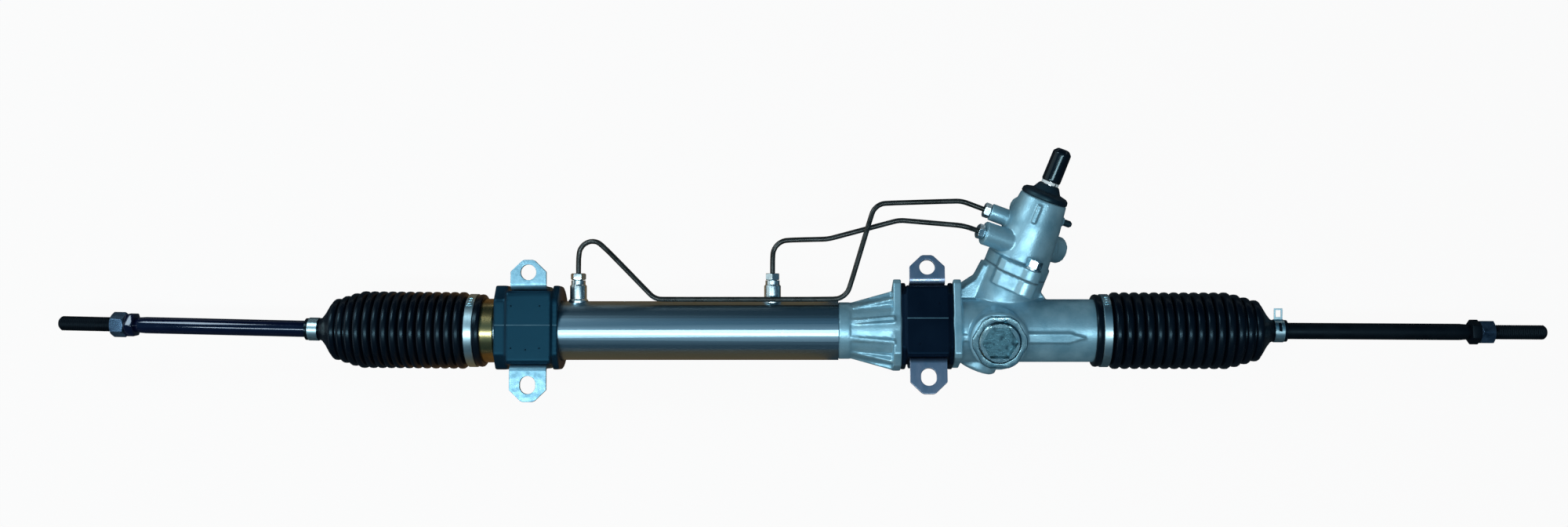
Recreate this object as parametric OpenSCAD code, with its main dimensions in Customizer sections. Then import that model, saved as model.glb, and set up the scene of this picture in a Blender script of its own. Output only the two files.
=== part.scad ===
// Hydraulic rack-and-pinion steering gear, lying with its mounting side up.
// X runs along the rack, cylinder end at -X and pinion end at +X.
// +Z is the outward normal of the mounting plane, and +Y is the side of the input shaft.
// The origin lies in the mounting plane, in the middle of the pinion-side clamp.

/* [Rack] */
// Diameter of the rack bar
rack_d = 26; // [24:0.5:27]
// Travel of the rack from lock to lock
rack_travel = 132; // [116:2:136]
// How far the rack stands off its middle at rest, towards the pinion end
rest_offset = 11; // [0:1:16]
// Running clearance between a shaft and its bore
run_gap = 0.05; // [0.03:0.01:0.08]
// Clearance between fixed pieces that seat in each other
seat_gap = 0.05; // [0.02:0.01:0.08]

/* [Teeth] */
// Module of the pinion teeth
tooth_module = 1.8; // [1.7:0.05:1.85]
// Number of pinion teeth
pinion_teeth = 8; // [7:1:8]
// Profile shift of the pinion, as a share of the module
profile_shift = 0.55; // [0.5:0.01:0.6]
// Radius over the tips of the pinion teeth
pinion_tip_r = 9.4; // [9.2:0.05:9.5]
// Width of the pinion teeth along the pinion axis
pinion_face = 25; // [20:1:27]
// How deep the tips of the rack teeth lie under the round of the bar
tooth_flat = 1.5; // [1.2:0.1:2]
// Play between the teeth on each flank
flank_play = 0.12; // [0.08:0.01:0.16]
// Lean of the pinion axis towards the right tie rod
pinion_lean = 20.6; // [15:0.2:22]

/* [Cylinder] */
// Outer diameter of the cylinder tube
tube_d = 48; // [47:0.5:49]
// Wall of the cylinder tube
tube_wall = 3; // [2.5:0.25:3.5]
// Outer diameter of the end sleeve
sleeve_d = 52; // [51:0.5:53]
// Length of the piston
piston_len = 18; // [14:1:19]
// Distance from the pinion-side clamp to the first union
union_near = 125.2; // [122:0.2:126]
// Distance between the two unions
union_pitch = 158.4; // [156:0.4:164]
// Turn of the unions from the mounting plane
union_angle = 15; // [10:1:20]
// Diameter of a union
union_d = 13.6; // [12:0.2:14]
// Height of the top of a union above the rack axis
union_top = 40.9; // [38:0.1:43]

/* [Mounting] */
// Distance between the two clamps
clamp_pitch = 319.8; // [316:0.2:323]
// Distance between the two bolt holes of a clamp
bolt_spacing = 90; // [88:1:94]
// Diameter of the bolt holes
bolt_hole_d = 12.5; // [11:0.5:13]
// Length of the oblong bolt hole
bolt_slot_len = 14.4; // [14:0.2:16]
// Height of the mounting plane above the rack axis
axis_drop = 28; // [27:0.5:30]
// Thickness of the clamp strap
clamp_t = 3.2; // [2.5:0.1:3.6]
// Width of the clamp strap
clamp_w = 29.5; // [27:0.5:31]
// How far the cylinder-side clamp stands turned about the rack at rest
clamp_turn = 12; // [0:1:16]
// Half width of the rubber bushes inside the clamps
bush_r = 29.7; // [29:0.1:30.5]
// How far the bushes and straps stand off the rack axis, towards the input shaft
clamp_lift = 2.3; // [1.5:0.1:3]
// How far the bolt holes stand off the rack axis, towards the input shaft
bolt_lift = 1.3; // [0.5:0.1:2]
// Distance from the clamp's middle to the left face of the cylinder-side bush
bush_left = 28.4; // [26:0.2:30]
// Distance from the clamp's middle to the right face of the cylinder-side bush
bush_right = 23.4; // [22:0.2:25]
// How far the bush rims stand out
bush_rim = 4.2; // [3.6:0.1:4.6]

/* [Gear housing] */
// Distance from the clamp middle to the left face of the casting's collar
collar_reach = 71.5; // [70:0.5:74]
// Distance from the clamp middle to the right end of the casting
housing_reach = 152; // [148:1:156]
// How far the tube reaches past the cylinder-side clamp
tube_overhang = 56; // [52:0.5:60]
// Length of the casting's socket inside the tube
socket_len = 40; // [36:1:41]
// Outer diameter of the barrel
barrel_d = 51.2; // [50:0.2:53]
// Radius over the fins at the flange
fin_r = 32.5; // [30:0.5:34]
// Thickness of a fin
fin_t = 3.6; // [2.4:0.2:4]
// Number of fins
fin_count = 10; // [8:1:12]
// Thickness of the flange plates beside the pinion-side bush
plate_t = 6.5; // [5:0.25:7]
// Gap between the flange plates
plate_gap = 42; // [40:0.5:44]
// Half width of the flange plates
plate_r = 35; // [34:0.5:36]
// Distance from the clamp middle to the pinion axis
pinion_x = 56; // [54:0.5:58]
// Turn of the pinion and guide plane about the rack axis
tower_tilt = 26; // [22:1:30]
// Radius of the neck around the pinion
neck_r = 26.5; // [25:0.5:28]
// Height of the joint between the castings along the pinion axis
joint_h = 50; // [49:0.5:52]
// Depth of the end recess that the ball sockets enter
recess_len = 13; // [10:1:15]

/* [Rack guide] */
// Diameter of the rack guide
guide_d = 32; // [30:0.5:33]
// Outer diameter of the guide boss
guide_boss_d = 47; // [46:0.5:50]
// Height of the guide boss above the rack axis
guide_boss_h = 38; // [37:0.5:40]
// Travel of the rack guide before it meets the plug
guide_play = 0.5; // [0.4:0.05:0.8]
// Width across the flats of the plug's hexagon socket
plug_hex = 25; // [20:1:26]
// Depth of the plug's hexagon socket
plug_hex_depth = 8; // [6:0.5:9]
// Wire diameter of the guide spring
guide_wire = 3; // [2.6:0.1:3.2]

/* [Valve] */
// Height of the top of the valve housing along the pinion axis
valve_top = 113.6; // [112:0.2:115]
// Radius of the valve housing at its top
valve_top_r = 19.6; // [19:0.1:21]
// Radius of the valve housing above its flange
valve_foot_r = 25; // [24:0.25:26]
// Thickness of the valve housing's flange
valve_flange_t = 9.5; // [8:0.5:11]
// Radius of the valve sleeve
sleeve_r = 14.6; // [14.2:0.1:15]
// Radius of the input shaft in the valve
shaft_r = 9; // [8.5:0.1:9.4]
// Radius of the input shaft above the dust cover
stem_r = 6.5; // [6:0.1:6.8]
// Length of the protective cap
cap_len = 27.6; // [26:0.2:31]
// Distance of the flange bolts from the pinion axis
flange_bolt_r = 32.5; // [32.5:0.25:34]
// Angle of the front flange bolt round the pinion axis
flange_bolt_turn = -77; // [-80:1:-72]

/* [Tie rods] */
// Length from the ball centre to the tip of the thread
rod_len = 260.5; // [250:0.5:270]
// Diameter of the tie rods
rod_d = 13.4; // [12.6:0.1:14]
// Diameter of the thread at the outer end
thread_d = 12; // [11:0.5:12.5]
// Length of the thread
thread_len = 54.5; // [48:0.5:58]
// Width across the flats of the lock nuts
nut_flat = 18; // [17:0.5:19]
// Height of the lock nuts
nut_h = 12; // [10:0.5:13]
// Radius of the inner balls
ball_r = 12.5; // [12:0.1:13]
// Outer diameter of the ball sockets
socket_d = 38; // [36:0.5:39]
// Lean of the left tie rod at rest
left_rod_lean = 1.36; // [0:0.02:2]
// Lean of the right tie rod at rest
right_rod_lean = 0.35; // [0:0.05:2]

/* [Boots] */
// Radius over the folds of a boot
boot_r = 31.3; // [30.5:0.1:32]
// Depth of a fold
fold_depth = 4.6; // [3.5:0.1:5]
// Wall of a boot
boot_wall = 1.8; // [1.4:0.1:2]
// Number of folds in a boot
fold_count = 15; // [13:1:16]
// Distance from the ball centre to the boot's small end on the left rod
left_grip = 52.2; // [50:0.2:54]
// Distance from the ball centre to the boot's small end on the right rod
right_grip = 42.2; // [40:0.2:44]

/* [Pipes] */
// Outer diameter of the feed pipes
pipe_d = 4.3; // [4:0.02:5]
// Width across the flats of the pipe nuts
pipe_nut = 10.8; // [10:0.1:12]

/* [Hidden] */

$fn = 64;

// Along the rack
tube_left = -(clamp_pitch + tube_overhang);
sleeve_right = -(clamp_pitch + bush_left + 0.5);
rack_r = rack_d / 2;
tube_r = tube_d / 2;
tube_bore_r = tube_r - tube_wall;
barrel_r = barrel_d / 2;
plate_foot = barrel_r + 2;
housing_mid = (tube_left + housing_reach) / 2;
rack_mid = housing_mid + rest_offset;
stop_gap = 1;
socket_back = 28;
socket_face = housing_reach - housing_mid - recess_len + rack_travel / 2 + stop_gap;
ball_reach = socket_face + socket_back;
left_ball = rack_mid - ball_reach;
right_ball = rack_mid + ball_reach;
union_x = [-union_near - union_pitch, -union_near];
piston_x = -union_near - union_pitch / 2 + rest_offset;
travel_left = rack_travel / 2 + rest_offset;
travel_right = rack_travel / 2 - rest_offset;

// Teeth
pressure_angle = 20;
pitch_r = tooth_module * pinion_teeth / 2;
base_r = pitch_r * cos(pressure_angle);
root_r = pitch_r + tooth_module * (profile_shift - 1.25);
pitch_tooth = tooth_module * (PI / 2 + 2 * profile_shift * tan(pressure_angle));
rack_add = (1 - profile_shift) * tooth_module;
rack_ded = pinion_tip_r - pitch_r + 0.4;
tooth_tip_z = rack_r - tooth_flat;
centre_distance = tooth_tip_z - rack_add + pitch_r;
tooth_pitch = PI * tooth_module;
rack_space = tooth_pitch / cos(pinion_lean);
spaces_left = ceil(travel_right / rack_space) + 2;
spaces_right = ceil(travel_left / rack_space) + 2;

// Heights along the pinion axis
lower_journal_r = 5.8;
lower_end = -30;
bearing_h = [24, 36];
bearing_bore_r = 10;
bearing_out_r = 17.5;
head_r = 13;
head_top = 50;
cup_floor = 44;
sleeve_top = 98;
ring_h = [58, 72, 80, 91];
valve_bore_r = sleeve_r + 0.5;
gasket_t = 0.5;
valve_foot = joint_h + gasket_t;
flange_top = valve_foot + valve_flange_t;
seal_h = 3.4;
bush_top = valve_top - seal_h - 0.2;
bush_h = 7;
shaft_step = valve_top + 1.4;
cover_top = valve_top + 12;
ring_z = cover_top + 0.5;
cap_z = ring_z + 2.5;
cap_wall = 0.9;
shaft_top = cap_z + cap_len - 3;
bar_r = 2.4;
bar_end_r = 3.1;

// Ports of the valve housing: height, turn from the right, boss radius, reach and offset to the boss's left
upper_port = [88, 180, 7, 36.8, 0];
lower_port = [72, 190, 9.6, 40, 9];
pressure_port = [74.5, 35, 11.2, 42, 4];
return_port = [97, 110, 9.5, 32, 0];
hose_thread_r = 7.2;
hose_depth = 14;
stopper_h = 100.5;
bolt_head_flat = 11;

// Rack guide stack along the guide axis
guide_r = guide_d / 2;
liner_t = 0.8;
guide_face = rack_r + 12;
plug_r = guide_r + 0.6;
plug_floor = guide_face + guide_play;
plug_top = guide_boss_h + 6;
plug_pocket = 7;
guide_pocket = rack_r + 4;
coil_r = 9;
pocket_r = coil_r + guide_wire / 2 + 0.4;
nut_ring_r = 22;

// Tie rods
neck_rod_r = 5.5;
seat_wall = 1.9;
mouth_angle = 58;
cavity_r = ball_r + seat_wall + 0.1;
nut_from_tip = 43;
collar_h = 7.5;
thread_root_r = thread_d / 2 - 0.7;

// Boots
cuff_r = 28.8;
band_t = 1;
band_w = 6.6;
band_x = 6.2;
grip_len = 13;
cone_len = 20;
first_fold = 18.6;
grip_r = rod_d / 2 + 1.6;
clip_t = 0.8;
clip_w = 7.8;
clip_tab = 18.4;

// Turns and moves of a point, so that a pipe can end in its port
function rx(a, p) = [p[0], p[1] * cos(a) - p[2] * sin(a), p[1] * sin(a) + p[2] * cos(a)];
function rz(a, p) = [p[0] * cos(a) - p[1] * sin(a), p[0] * sin(a) + p[1] * cos(a), p[2]];
function from_pinion(p) =
    [pinion_x, 0, 0] + rx(tower_tilt, [0, 0, -centre_distance] + rz(-pinion_lean, rx(-90, p)));
function to_pipe(p) = rx(90 - union_angle, p);
function port_point(port, reach) = to_pipe(from_pinion([
    reach * cos(port[1]) - port[4] * sin(port[1]), reach * sin(port[1]) + port[4] * cos(port[1]), port[0]
]));

// Frames
module on_axis() translate([0, 0, -axis_drop]) children();
module tower() on_axis() translate([pinion_x, 0, 0]) rotate([tower_tilt, 0, 0]) children();
module on_pinion() tower() translate([0, 0, -centre_distance]) rotate([0, 0, -pinion_lean])
    rotate([-90, 0, 0])
    children();
module on_pipes() on_axis() rotate([union_angle - 90, 0, 0]) children();
module at_left_ball() on_axis() translate([left_ball, 0, 0]) rotate([0, 0, 180 - left_rod_lean]) children();
module at_right_ball() on_axis() translate([right_ball, 0, 0]) rotate([0, 0, -right_rod_lean]) children();

// A turned piece about the X axis, from points of place and radius
module turned(points) rotate([0, 90, 0]) rotate_extrude() polygon([for (p = points) [p[1], p[0]]]);
// A plate across the X axis, from an outline in Y and Z
module slab(x0, x1) translate([x0, 0, 0]) rotate([90, 0, 90]) linear_extrude(x1 - x0) children();
// A plain ring about Z
module ring(r_in, r_out, z0, z1) rotate_extrude() polygon([[r_in, z0], [r_out, z0], [r_out, z1], [r_in, z1]]);
// A hexagon prism with its corners turned off
module hex_body(flat, h, edge = 0.8) {
    corner = flat / sqrt(3);
    intersection() {
        cylinder(r = corner, h = h, $fn = 6);
        rotate_extrude() polygon([
            [0, 0], [corner - edge * 1.7, 0], [corner, edge], [corner, h - edge],
            [corner - edge * 1.7, h], [0, h]
        ]);
    }
}
module hex_nut(flat, h, bore_r, edge = 0.8) difference() {
    hex_body(flat, h, edge);
    translate([0, 0, -1]) cylinder(r = bore_r, h = h + 2);
}

// Cylinder

module cylinder_tube() color("lightslategray") on_axis() difference() {
    turned([
        [tube_left, tube_bore_r], [tube_left, tube_r], [-collar_reach, tube_r], [-collar_reach, tube_bore_r]
    ]);
    for (x = union_x) translate([x, 0, 0]) rotate([union_angle - 90, 0, 0]) cylinder(r = 1.8, h = tube_d);
}

module end_sleeve() color("darkgoldenrod") on_axis() turned([
    [tube_left, tube_r + seat_gap], [tube_left, sleeve_d / 2 - 0.8], [tube_left + 0.8, sleeve_d / 2],
    [sleeve_right - 0.8, sleeve_d / 2], [sleeve_right, sleeve_d / 2 - 0.8], [sleeve_right, tube_r + seat_gap]
]);

module union_body() difference() {
    rotate_extrude() polygon([
        [1.8, tube_r - 6], [union_d / 2 + 1.2, tube_r - 6], [union_d / 2 + 1.2, tube_r + 0.6],
        [union_d / 2, tube_r + 1.8], [union_d / 2, union_top - 4.5], [union_d / 2 - 1, union_top - 3.3],
        [union_d / 2 - 1, union_top], [pipe_d / 2 + 1.6, union_top], [pipe_d / 2 + 1.6, union_top - 6],
        [1.8, union_top - 6]
    ]);
    rotate([0, 90, 0]) cylinder(r = tube_r + seat_gap, h = 60, center = true, $fn = 96);
}

module unions() color("silver") on_pipes() for (x = union_x) translate([x, 0, 0]) union_body();

module pipe_nut_body() {
    translate([0, 0, 0.3]) hex_nut(pipe_nut, 5.5, pipe_d / 2 + seat_gap, 0.7);
    translate([0, 0, -5]) ring(pipe_d / 2 + seat_gap, pipe_d / 2 + 1.5, 0, 5.3);
}

module union_nuts() color("gainsboro") on_pipes() for (i = [0, 1])
    translate([union_x[i], 0, union_top]) rotate([0, 0, 30 * i]) pipe_nut_body();

module end_bush() color("goldenrod") on_axis() turned([
    [tube_left + recess_len, rack_r + run_gap], [tube_left + recess_len, tube_bore_r - seat_gap],
    [tube_left + recess_len + 27, tube_bore_r - seat_gap], [tube_left + recess_len + 27, rack_r + run_gap]
]);

module rod_seal(x, out_r) turned([
    [x, rack_r + run_gap], [x, out_r], [x + 7, out_r], [x + 7, rack_r + 2.4], [x + 3, rack_r + 2.4],
    [x + 4.5, rack_r + run_gap]
]);

module outer_rod_seal() color("dimgray") on_axis()
    rod_seal(tube_left + recess_len + 27 + seat_gap, tube_bore_r - seat_gap);

module inner_rod_seal() color("dimgray") on_axis() mirror([1, 0, 0])
    rod_seal(collar_reach + socket_len - 8, rack_r + 4);

// Gear housing

// A round back with a flat front and cut corners; the lower corner may have a cut of its own
module plate_outline(r, front, cut_y, cut_z, low_y = 0, low_z = 0) {
    y = low_y > 0 ? low_y : cut_y;
    z = low_z > 0 ? low_z : cut_z;
    intersection() {
        circle(r = r, $fn = 96);
        translate([-r, -r]) square([2 * r, r]);
    }
    polygon([[-r, 0], [r, 0], [r, front - cut_z], [r - cut_y, front], [y - r, front], [-r, front - z]]);
}

module fins() for (i = [0:fin_count - 1]) rotate([i * 360 / fin_count + 30, 0, 0])
    rotate([90, 0, 0]) linear_extrude(fin_t, center = true) polygon([
        [-collar_reach + 9.5, barrel_r - 8], [-collar_reach + 9.5, barrel_r - 3],
        [-plate_gap / 2 - plate_t + 1, fin_r], [-plate_gap / 2 - plate_t + 1, barrel_r - 8]
    ]);

module flange_ear(turn, r) rotate([0, 0, turn]) {
    translate([0, -r]) square([flange_bolt_r, 2 * r]);
    translate([flange_bolt_r, 0]) circle(r = r);
}

module joint_outline() {
    circle(r = neck_r, $fn = 96);
    for (turn = [0, 180]) flange_ear(flange_bolt_turn + turn, 8.6);
    polygon([[-19, -10], [-19, -27], [-15, -31], [6, -flange_bolt_r - 6], [12, -15]]);
}

module housing_shell() {
    turned([
        [-collar_reach - socket_len, 0], [-collar_reach - socket_len, tube_bore_r - seat_gap],
        [-collar_reach, tube_bore_r - seat_gap], [-collar_reach, tube_r - 0.9],
        [-collar_reach + 9, tube_r - 0.9],
        [-collar_reach + 9, tube_r - 2], [-plate_gap / 2 - plate_t, barrel_r + 1.6],
        [-plate_gap / 2, barrel_r + 1.6],
        [-plate_gap / 2, barrel_r - 0.6], [plate_gap / 2, barrel_r - 0.6], [plate_gap / 2, barrel_r],
        [housing_reach - 1.5, barrel_r], [housing_reach, barrel_r - 1.5], [housing_reach, 0]
    ]);
    fins();
    slab(-plate_gap / 2 - plate_t, -plate_gap / 2)
        translate([clamp_lift, 0]) plate_outline(plate_r, axis_drop - 1.5, 4, 3, 8, 10);
    slab(plate_gap / 2, plate_gap / 2 + plate_t) intersection() {
        translate([clamp_lift, 0]) plate_outline(plate_r, axis_drop - 1.5, 4, 3, 8, 10);
        translate([-plate_foot, -2 * plate_r]) square(4 * plate_r);
    }
}

module neck_webs() {
    translate([0, 0, -centre_distance - 12]) linear_extrude(24) polygon([
        [plate_gap / 2 + 2 - pinion_x, 0], [plate_gap / 2 + 2 - pinion_x, 29.5], [-15.5, joint_h - 9],
        [-13, joint_h - 4], [-9, joint_h + 4], [20, joint_h - 10], [20, 0]
    ]);
    translate([0, 0, -centre_distance - 8]) linear_extrude(20)
        polygon([[10, 0], [10, joint_h - 4], [36, 33], [44, 22], [50, 0]]);
}

module guide_fins() {
    linear_extrude(barrel_r + 2.2) polygon([[16, -4.2], [58, -4.2], [71, 0], [58, 4.2], [16, 4.2]]);
    linear_extrude(guide_boss_h - 10) polygon([
        [plate_gap / 2 + 1 - pinion_x, -2.6], [-16, -2.6], [-16, 2.6], [plate_gap / 2 + 1 - pinion_x, 2.6]
    ]);
}

module gear_housing() color("lightsteelblue") difference() {
    union() {
        on_axis() housing_shell();
        tower() {
            neck_webs();
            guide_fins();
            rotate_extrude() polygon([
                [0, 0], [guide_boss_d / 2, 0], [guide_boss_d / 2, guide_boss_h - 1.5],
                [guide_boss_d / 2 - 1.5, guide_boss_h], [0, guide_boss_h]
            ]);
        }
        on_pinion() {
            rotate_extrude() polygon([
                [0, -38], [14.5, -38], [16.5, -36], [16.5, -20], [neck_r, -6], [neck_r, joint_h], [0, joint_h]
            ]);
            translate([0, 0, joint_h - 12.5]) linear_extrude(12.5) joint_outline();
        }
    }
    on_axis() translate([-collar_reach - socket_len - 1, 0, 0]) rotate([0, 90, 0])
        cylinder(r = rack_r + 0.5, h = collar_reach + socket_len + housing_reach);
    on_axis() translate([housing_reach - recess_len, 0, 0]) rotate([0, 90, 0])
        cylinder(r = tube_bore_r + 0.6, h = recess_len + 1);
    on_axis() translate([-collar_reach - socket_len - 1, 0, 0]) rotate([0, 90, 0])
        cylinder(r = rack_r + 4 + seat_gap, h = 9);
    tower() {
        cylinder(r = guide_r + run_gap, h = plug_floor);
        translate([0, 0, plug_floor - 0.5]) cylinder(r = plug_r + seat_gap, h = 30);
    }
    on_pinion() {
        translate([0, 0, -39]) cylinder(r = 11, h = 5);
        translate([0, 0, -35]) cylinder(r = 9.5 + seat_gap, h = 21);
        translate([0, 0, -15]) cylinder(r = pinion_tip_r + 1.6, h = 40);
        translate([0, 0, bearing_h[0]]) cylinder(r = bearing_out_r + seat_gap, h = joint_h);
        for (turn = [0, 180]) rotate([0, 0, flange_bolt_turn + turn])
            translate([flange_bolt_r, 0, joint_h - 12]) cylinder(r = 3.4, h = 13);
    }
}

module lower_bush() color("silver") on_pinion()
    ring(lower_journal_r + run_gap, 9.5, lower_end - 2, -15.5);

module bore_plug() color("gray") on_pinion() ring(0, 10.95, -37.6, -34.2);

module pinion_bearing() color("silver") on_pinion() {
    mid = (bearing_h[0] + bearing_h[1]) / 2;
    ball_ring_r = (bearing_bore_r + bearing_out_r) / 2;
    groove_r = 2.6;
    difference() {
        ring(ball_ring_r + 1.3, bearing_out_r, bearing_h[0] + seat_gap, bearing_h[1]);
        rotate_extrude() translate([ball_ring_r, mid]) circle(r = groove_r);
    }
    difference() {
        ring(bearing_bore_r, ball_ring_r - 1.3, bearing_h[0] + seat_gap, bearing_h[1]);
        rotate_extrude() translate([ball_ring_r, mid]) circle(r = groove_r);
    }
    for (i = [0:9]) rotate([0, 0, 36 * i]) translate([ball_ring_r, 0, mid])
        sphere(r = groove_r - seat_gap, $fn = 24);
}

module guide_plug() color("silver") tower() difference() {
    rotate_extrude() polygon([
        [0, plug_floor], [plug_r, plug_floor], [plug_r, plug_top - 1], [plug_r - 1, plug_top], [0, plug_top]
    ]);
    translate([0, 0, plug_top - plug_hex_depth])
        cylinder(r = plug_hex / sqrt(3), h = plug_hex_depth + 1, $fn = 6);
    translate([0, 0, plug_floor - 1]) cylinder(r = pocket_r, h = plug_pocket + 1);
}

module plug_lock_nut() color("silver") tower() translate([0, 0, guide_boss_h + seat_gap]) difference() {
    intersection() {
        cylinder(r = nut_ring_r + 2, h = 4.5, $fn = 6);
        ring(0, nut_ring_r, 0, 4.5);
    }
    translate([0, 0, -1]) cylinder(r = plug_r + seat_gap, h = 7);
}

// A coil spring as one swept wire
coil_turns = 3;
coil_steps = 14;
module coil(z0, z1) {
    n = coil_turns * coil_steps;
    sides = 8;
    wire_r = guide_wire / 2;
    rise = z1 - z0 - guide_wire;
    points = [for (i = [0:n]) let (a = 360 * i / coil_steps, z = z0 + wire_r + rise * i / n)
        for (k = [0:sides - 1]) let (b = 360 * k / sides, r = coil_r + wire_r * cos(b))
            [r * cos(a), r * sin(a), z + wire_r * sin(b)]];
    faces = concat(
        [[for (k = [0:sides - 1]) k]],
        [[for (k = [sides - 1:-1:0]) n * sides + k]],
        [for (i = [0:n - 1]) for (k = [0:sides - 1])
            let (a = i * sides + k, b = i * sides + (k + 1) % sides) [a, a + sides, b + sides, b]]
    );
    polyhedron(points, faces);
}

module guide_spring() color("gray") tower() coil(guide_pocket + 0.1, plug_floor + plug_pocket - 0.1);

// Valve housing

module gasket() color("black") on_pinion() difference() {
    translate([0, 0, joint_h]) linear_extrude(gasket_t) joint_outline();
    translate([0, 0, joint_h - 1]) cylinder(r = bearing_out_r, h = 3);
    for (turn = [0, 180]) rotate([0, 0, flange_bolt_turn + turn])
        translate([flange_bolt_r, 0, joint_h - 1]) cylinder(r = 3.6, h = 3);
}

module at_port(port) translate([0, 0, port[0]]) rotate([0, 0, port[1]]) translate([0, port[4], 0])
    rotate([0, 90, 0]) children();

module port_hole(port, r, depth) at_port(port) {
    translate([0, 0, port[3] - depth]) cylinder(r = r, h = depth + 1);
    cylinder(r = 1.8, h = port[3]);
}

module valve_housing() color("lightsteelblue") on_pinion() difference() {
    union() {
        translate([0, 0, valve_foot]) linear_extrude(valve_flange_t) joint_outline();
        rotate_extrude($fn = 96) polygon([
            [0, valve_foot], [valve_foot_r, valve_foot], [valve_foot_r, flange_top], [valve_foot_r - 2.5, 92],
            [valve_top_r, valve_top - 1], [valve_top_r - 0.8, valve_top], [0, valve_top]
        ]);
        for (port = [upper_port, lower_port, pressure_port, return_port]) at_port(port)
            cylinder(r = port[2], h = port[3]);
        at_port(pressure_port) cylinder(r = 12, h = 30);
        rotate([90, 0, -102]) linear_extrude(3.4, center = true)
            polygon([[15, 94], [valve_foot_r - 1.4, 94], [valve_top_r + 1.9, 109], [15, 109]]);
        translate([0, 0, stopper_h]) rotate([0, 90, 8]) cylinder(r = 4, h = 23);
    }
    translate([0, 0, joint_h - 1]) cylinder(r = valve_bore_r, h = bush_top - bush_h - joint_h + 1);
    translate([0, 0, bush_top - bush_h - 1]) cylinder(r = 12, h = 40);
    for (port = [upper_port, lower_port]) port_hole(port, pipe_d / 2 + 1.6, 6);
    for (port = [pressure_port, return_port]) port_hole(port, hose_thread_r, hose_depth);
    translate([0, 0, stopper_h]) rotate([0, 90, 8]) translate([0, 0, 19]) cylinder(r = 2 + seat_gap, h = 6);
    for (turn = [0, 180]) rotate([0, 0, flange_bolt_turn + turn])
        translate([flange_bolt_r, 0, joint_h - 1]) cylinder(r = 3.6, h = 30);
}

module flange_bolts() color("gainsboro") on_pinion() for (turn = [0, 180])
    rotate([0, 0, flange_bolt_turn + turn]) translate([flange_bolt_r, 0, 0]) {
        ring(0, 3.35, joint_h - 11.5, flange_top + 1.2);
        ring(0, 7, flange_top + 0.05, flange_top + 1.4);
        translate([0, 0, flange_top + 1.3]) hex_body(bolt_head_flat, 6.6, 0.6);
    }

module upper_bush() color("silver") on_pinion()
    ring(shaft_r + run_gap, 12 - seat_gap, bush_top - bush_h, bush_top);

module shaft_seal() color("dimgray") on_pinion()
    ring(shaft_r + run_gap, 12 - seat_gap, bush_top + 0.1, valve_top - 0.1);

module dust_cover() color("black") on_pinion() rotate_extrude() polygon([
    [shaft_r + 0.5, valve_top + 0.05], [valve_top_r - 0.2, valve_top + 0.05], [valve_top_r, valve_top + 1],
    [valve_top_r - 0.4, valve_top + 3.6], [valve_top_r - 2.2, valve_top + 5],
    [valve_top_r - 8, valve_top + 6.4],
    [stem_r + 2.6, cover_top - 1.4], [stem_r + 1.6, cover_top], [stem_r + 0.3, cover_top],
    [stem_r + 0.3, cover_top - 2], [shaft_r + 0.5, shaft_step + 1.5]
]);

module bleed_stopper() color("black") on_pinion() translate([0, 0, stopper_h]) rotate([0, 90, 8]) {
    ring(0, 2, 20, 23.1);
    ring(0, 2.8, 23.05, 28.6);
    translate([0, 0, 28.6]) cylinder(r1 = 2.8, r2 = 1.6, h = 1.6);
}

module port_nuts() color("gainsboro") on_pinion() for (port = [upper_port, lower_port])
    at_port(port) translate([0, 0, port[3]]) pipe_nut_body();

// Feed pipes, as swept tubes along a route with rounded corners

function unit(v) = v / norm(v);
function corner_arc(p, q, s, r, n = 5) =
    let (u = unit(p - q), v = unit(s - q), half = acos(u * v) / 2, run = r / tan(half),
         mid = unit(u + v), c = q + mid * (r / sin(half)),
         a = unit(q + u * run - c), b = unit(q + v * run - c),
         turn = 180 - 2 * half)
    [for (i = [0:n]) c + r * (a * sin(turn * (1 - i / n)) + b * sin(turn * i / n)) / sin(turn)];
function route(points, radii) = concat(
    [points[0]],
    [for (i = [1:len(points) - 2]) each corner_arc(points[i - 1], points[i], points[i + 1], radii[i - 1])],
    [points[len(points) - 1]]
);
module swept(path, r, sides = 12) {
    n = len(path);
    heading = [for (i = [0:n - 1]) unit(path[min(i + 1, n - 1)] - path[max(i - 1, 0)])];
    points = [for (i = [0:n - 1]) let (u = unit(cross(heading[i], [0, -1, 0])), v = cross(heading[i], u))
        for (k = [0:sides - 1]) path[i] + r * (cos(360 * k / sides) * u + sin(360 * k / sides) * v)];
    faces = concat(
        [[for (k = [sides - 1:-1:0]) k]],
        [[for (k = [0:sides - 1]) (n - 1) * sides + k]],
        [for (i = [0:n - 2]) for (k = [0:sides - 1])
            let (a = i * sides + k, b = i * sides + (k + 1) % sides) [a, b, b + sides, a + sides]]
    );
    polyhedron(points, faces);
}

// Each route point is its place along the rack, its depth behind the view plane and its height
left_route = concat(
    [[union_x[0], 0, union_top - 4], [union_x[0], 0, 90], [-220, -11, 25.7], [-65.2, -11, 25.7],
    [-42, -9, 103.4]],
    [port_point(upper_port, 62), port_point(upper_port, upper_port[3] - 4)]
);
right_route = concat(
    [[union_x[1], 0, union_top - 4], [union_x[1], 0, 73.6], [-80, 0, 74.6], [-22, -4, 90]],
    [port_point(lower_port, 58), port_point(lower_port, lower_port[3] - 4)]
);

module left_feed_pipe() color("black") on_pipes() swept(route(left_route, [12, 14, 14, 13, 26]), pipe_d / 2);
module right_feed_pipe() color("black") on_pipes() swept(route(right_route, [13, 40, 24, 24]), pipe_d / 2);

// Clamps and bushes

strap_r = bush_r + 0.15;
strap_bend = 2;
upper_hole = bolt_spacing / 2 + bolt_lift;
lower_hole = bolt_spacing / 2 - bolt_lift;
upper_ear = upper_hole + 10;
lower_ear = lower_hole + 13.6;

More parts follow.
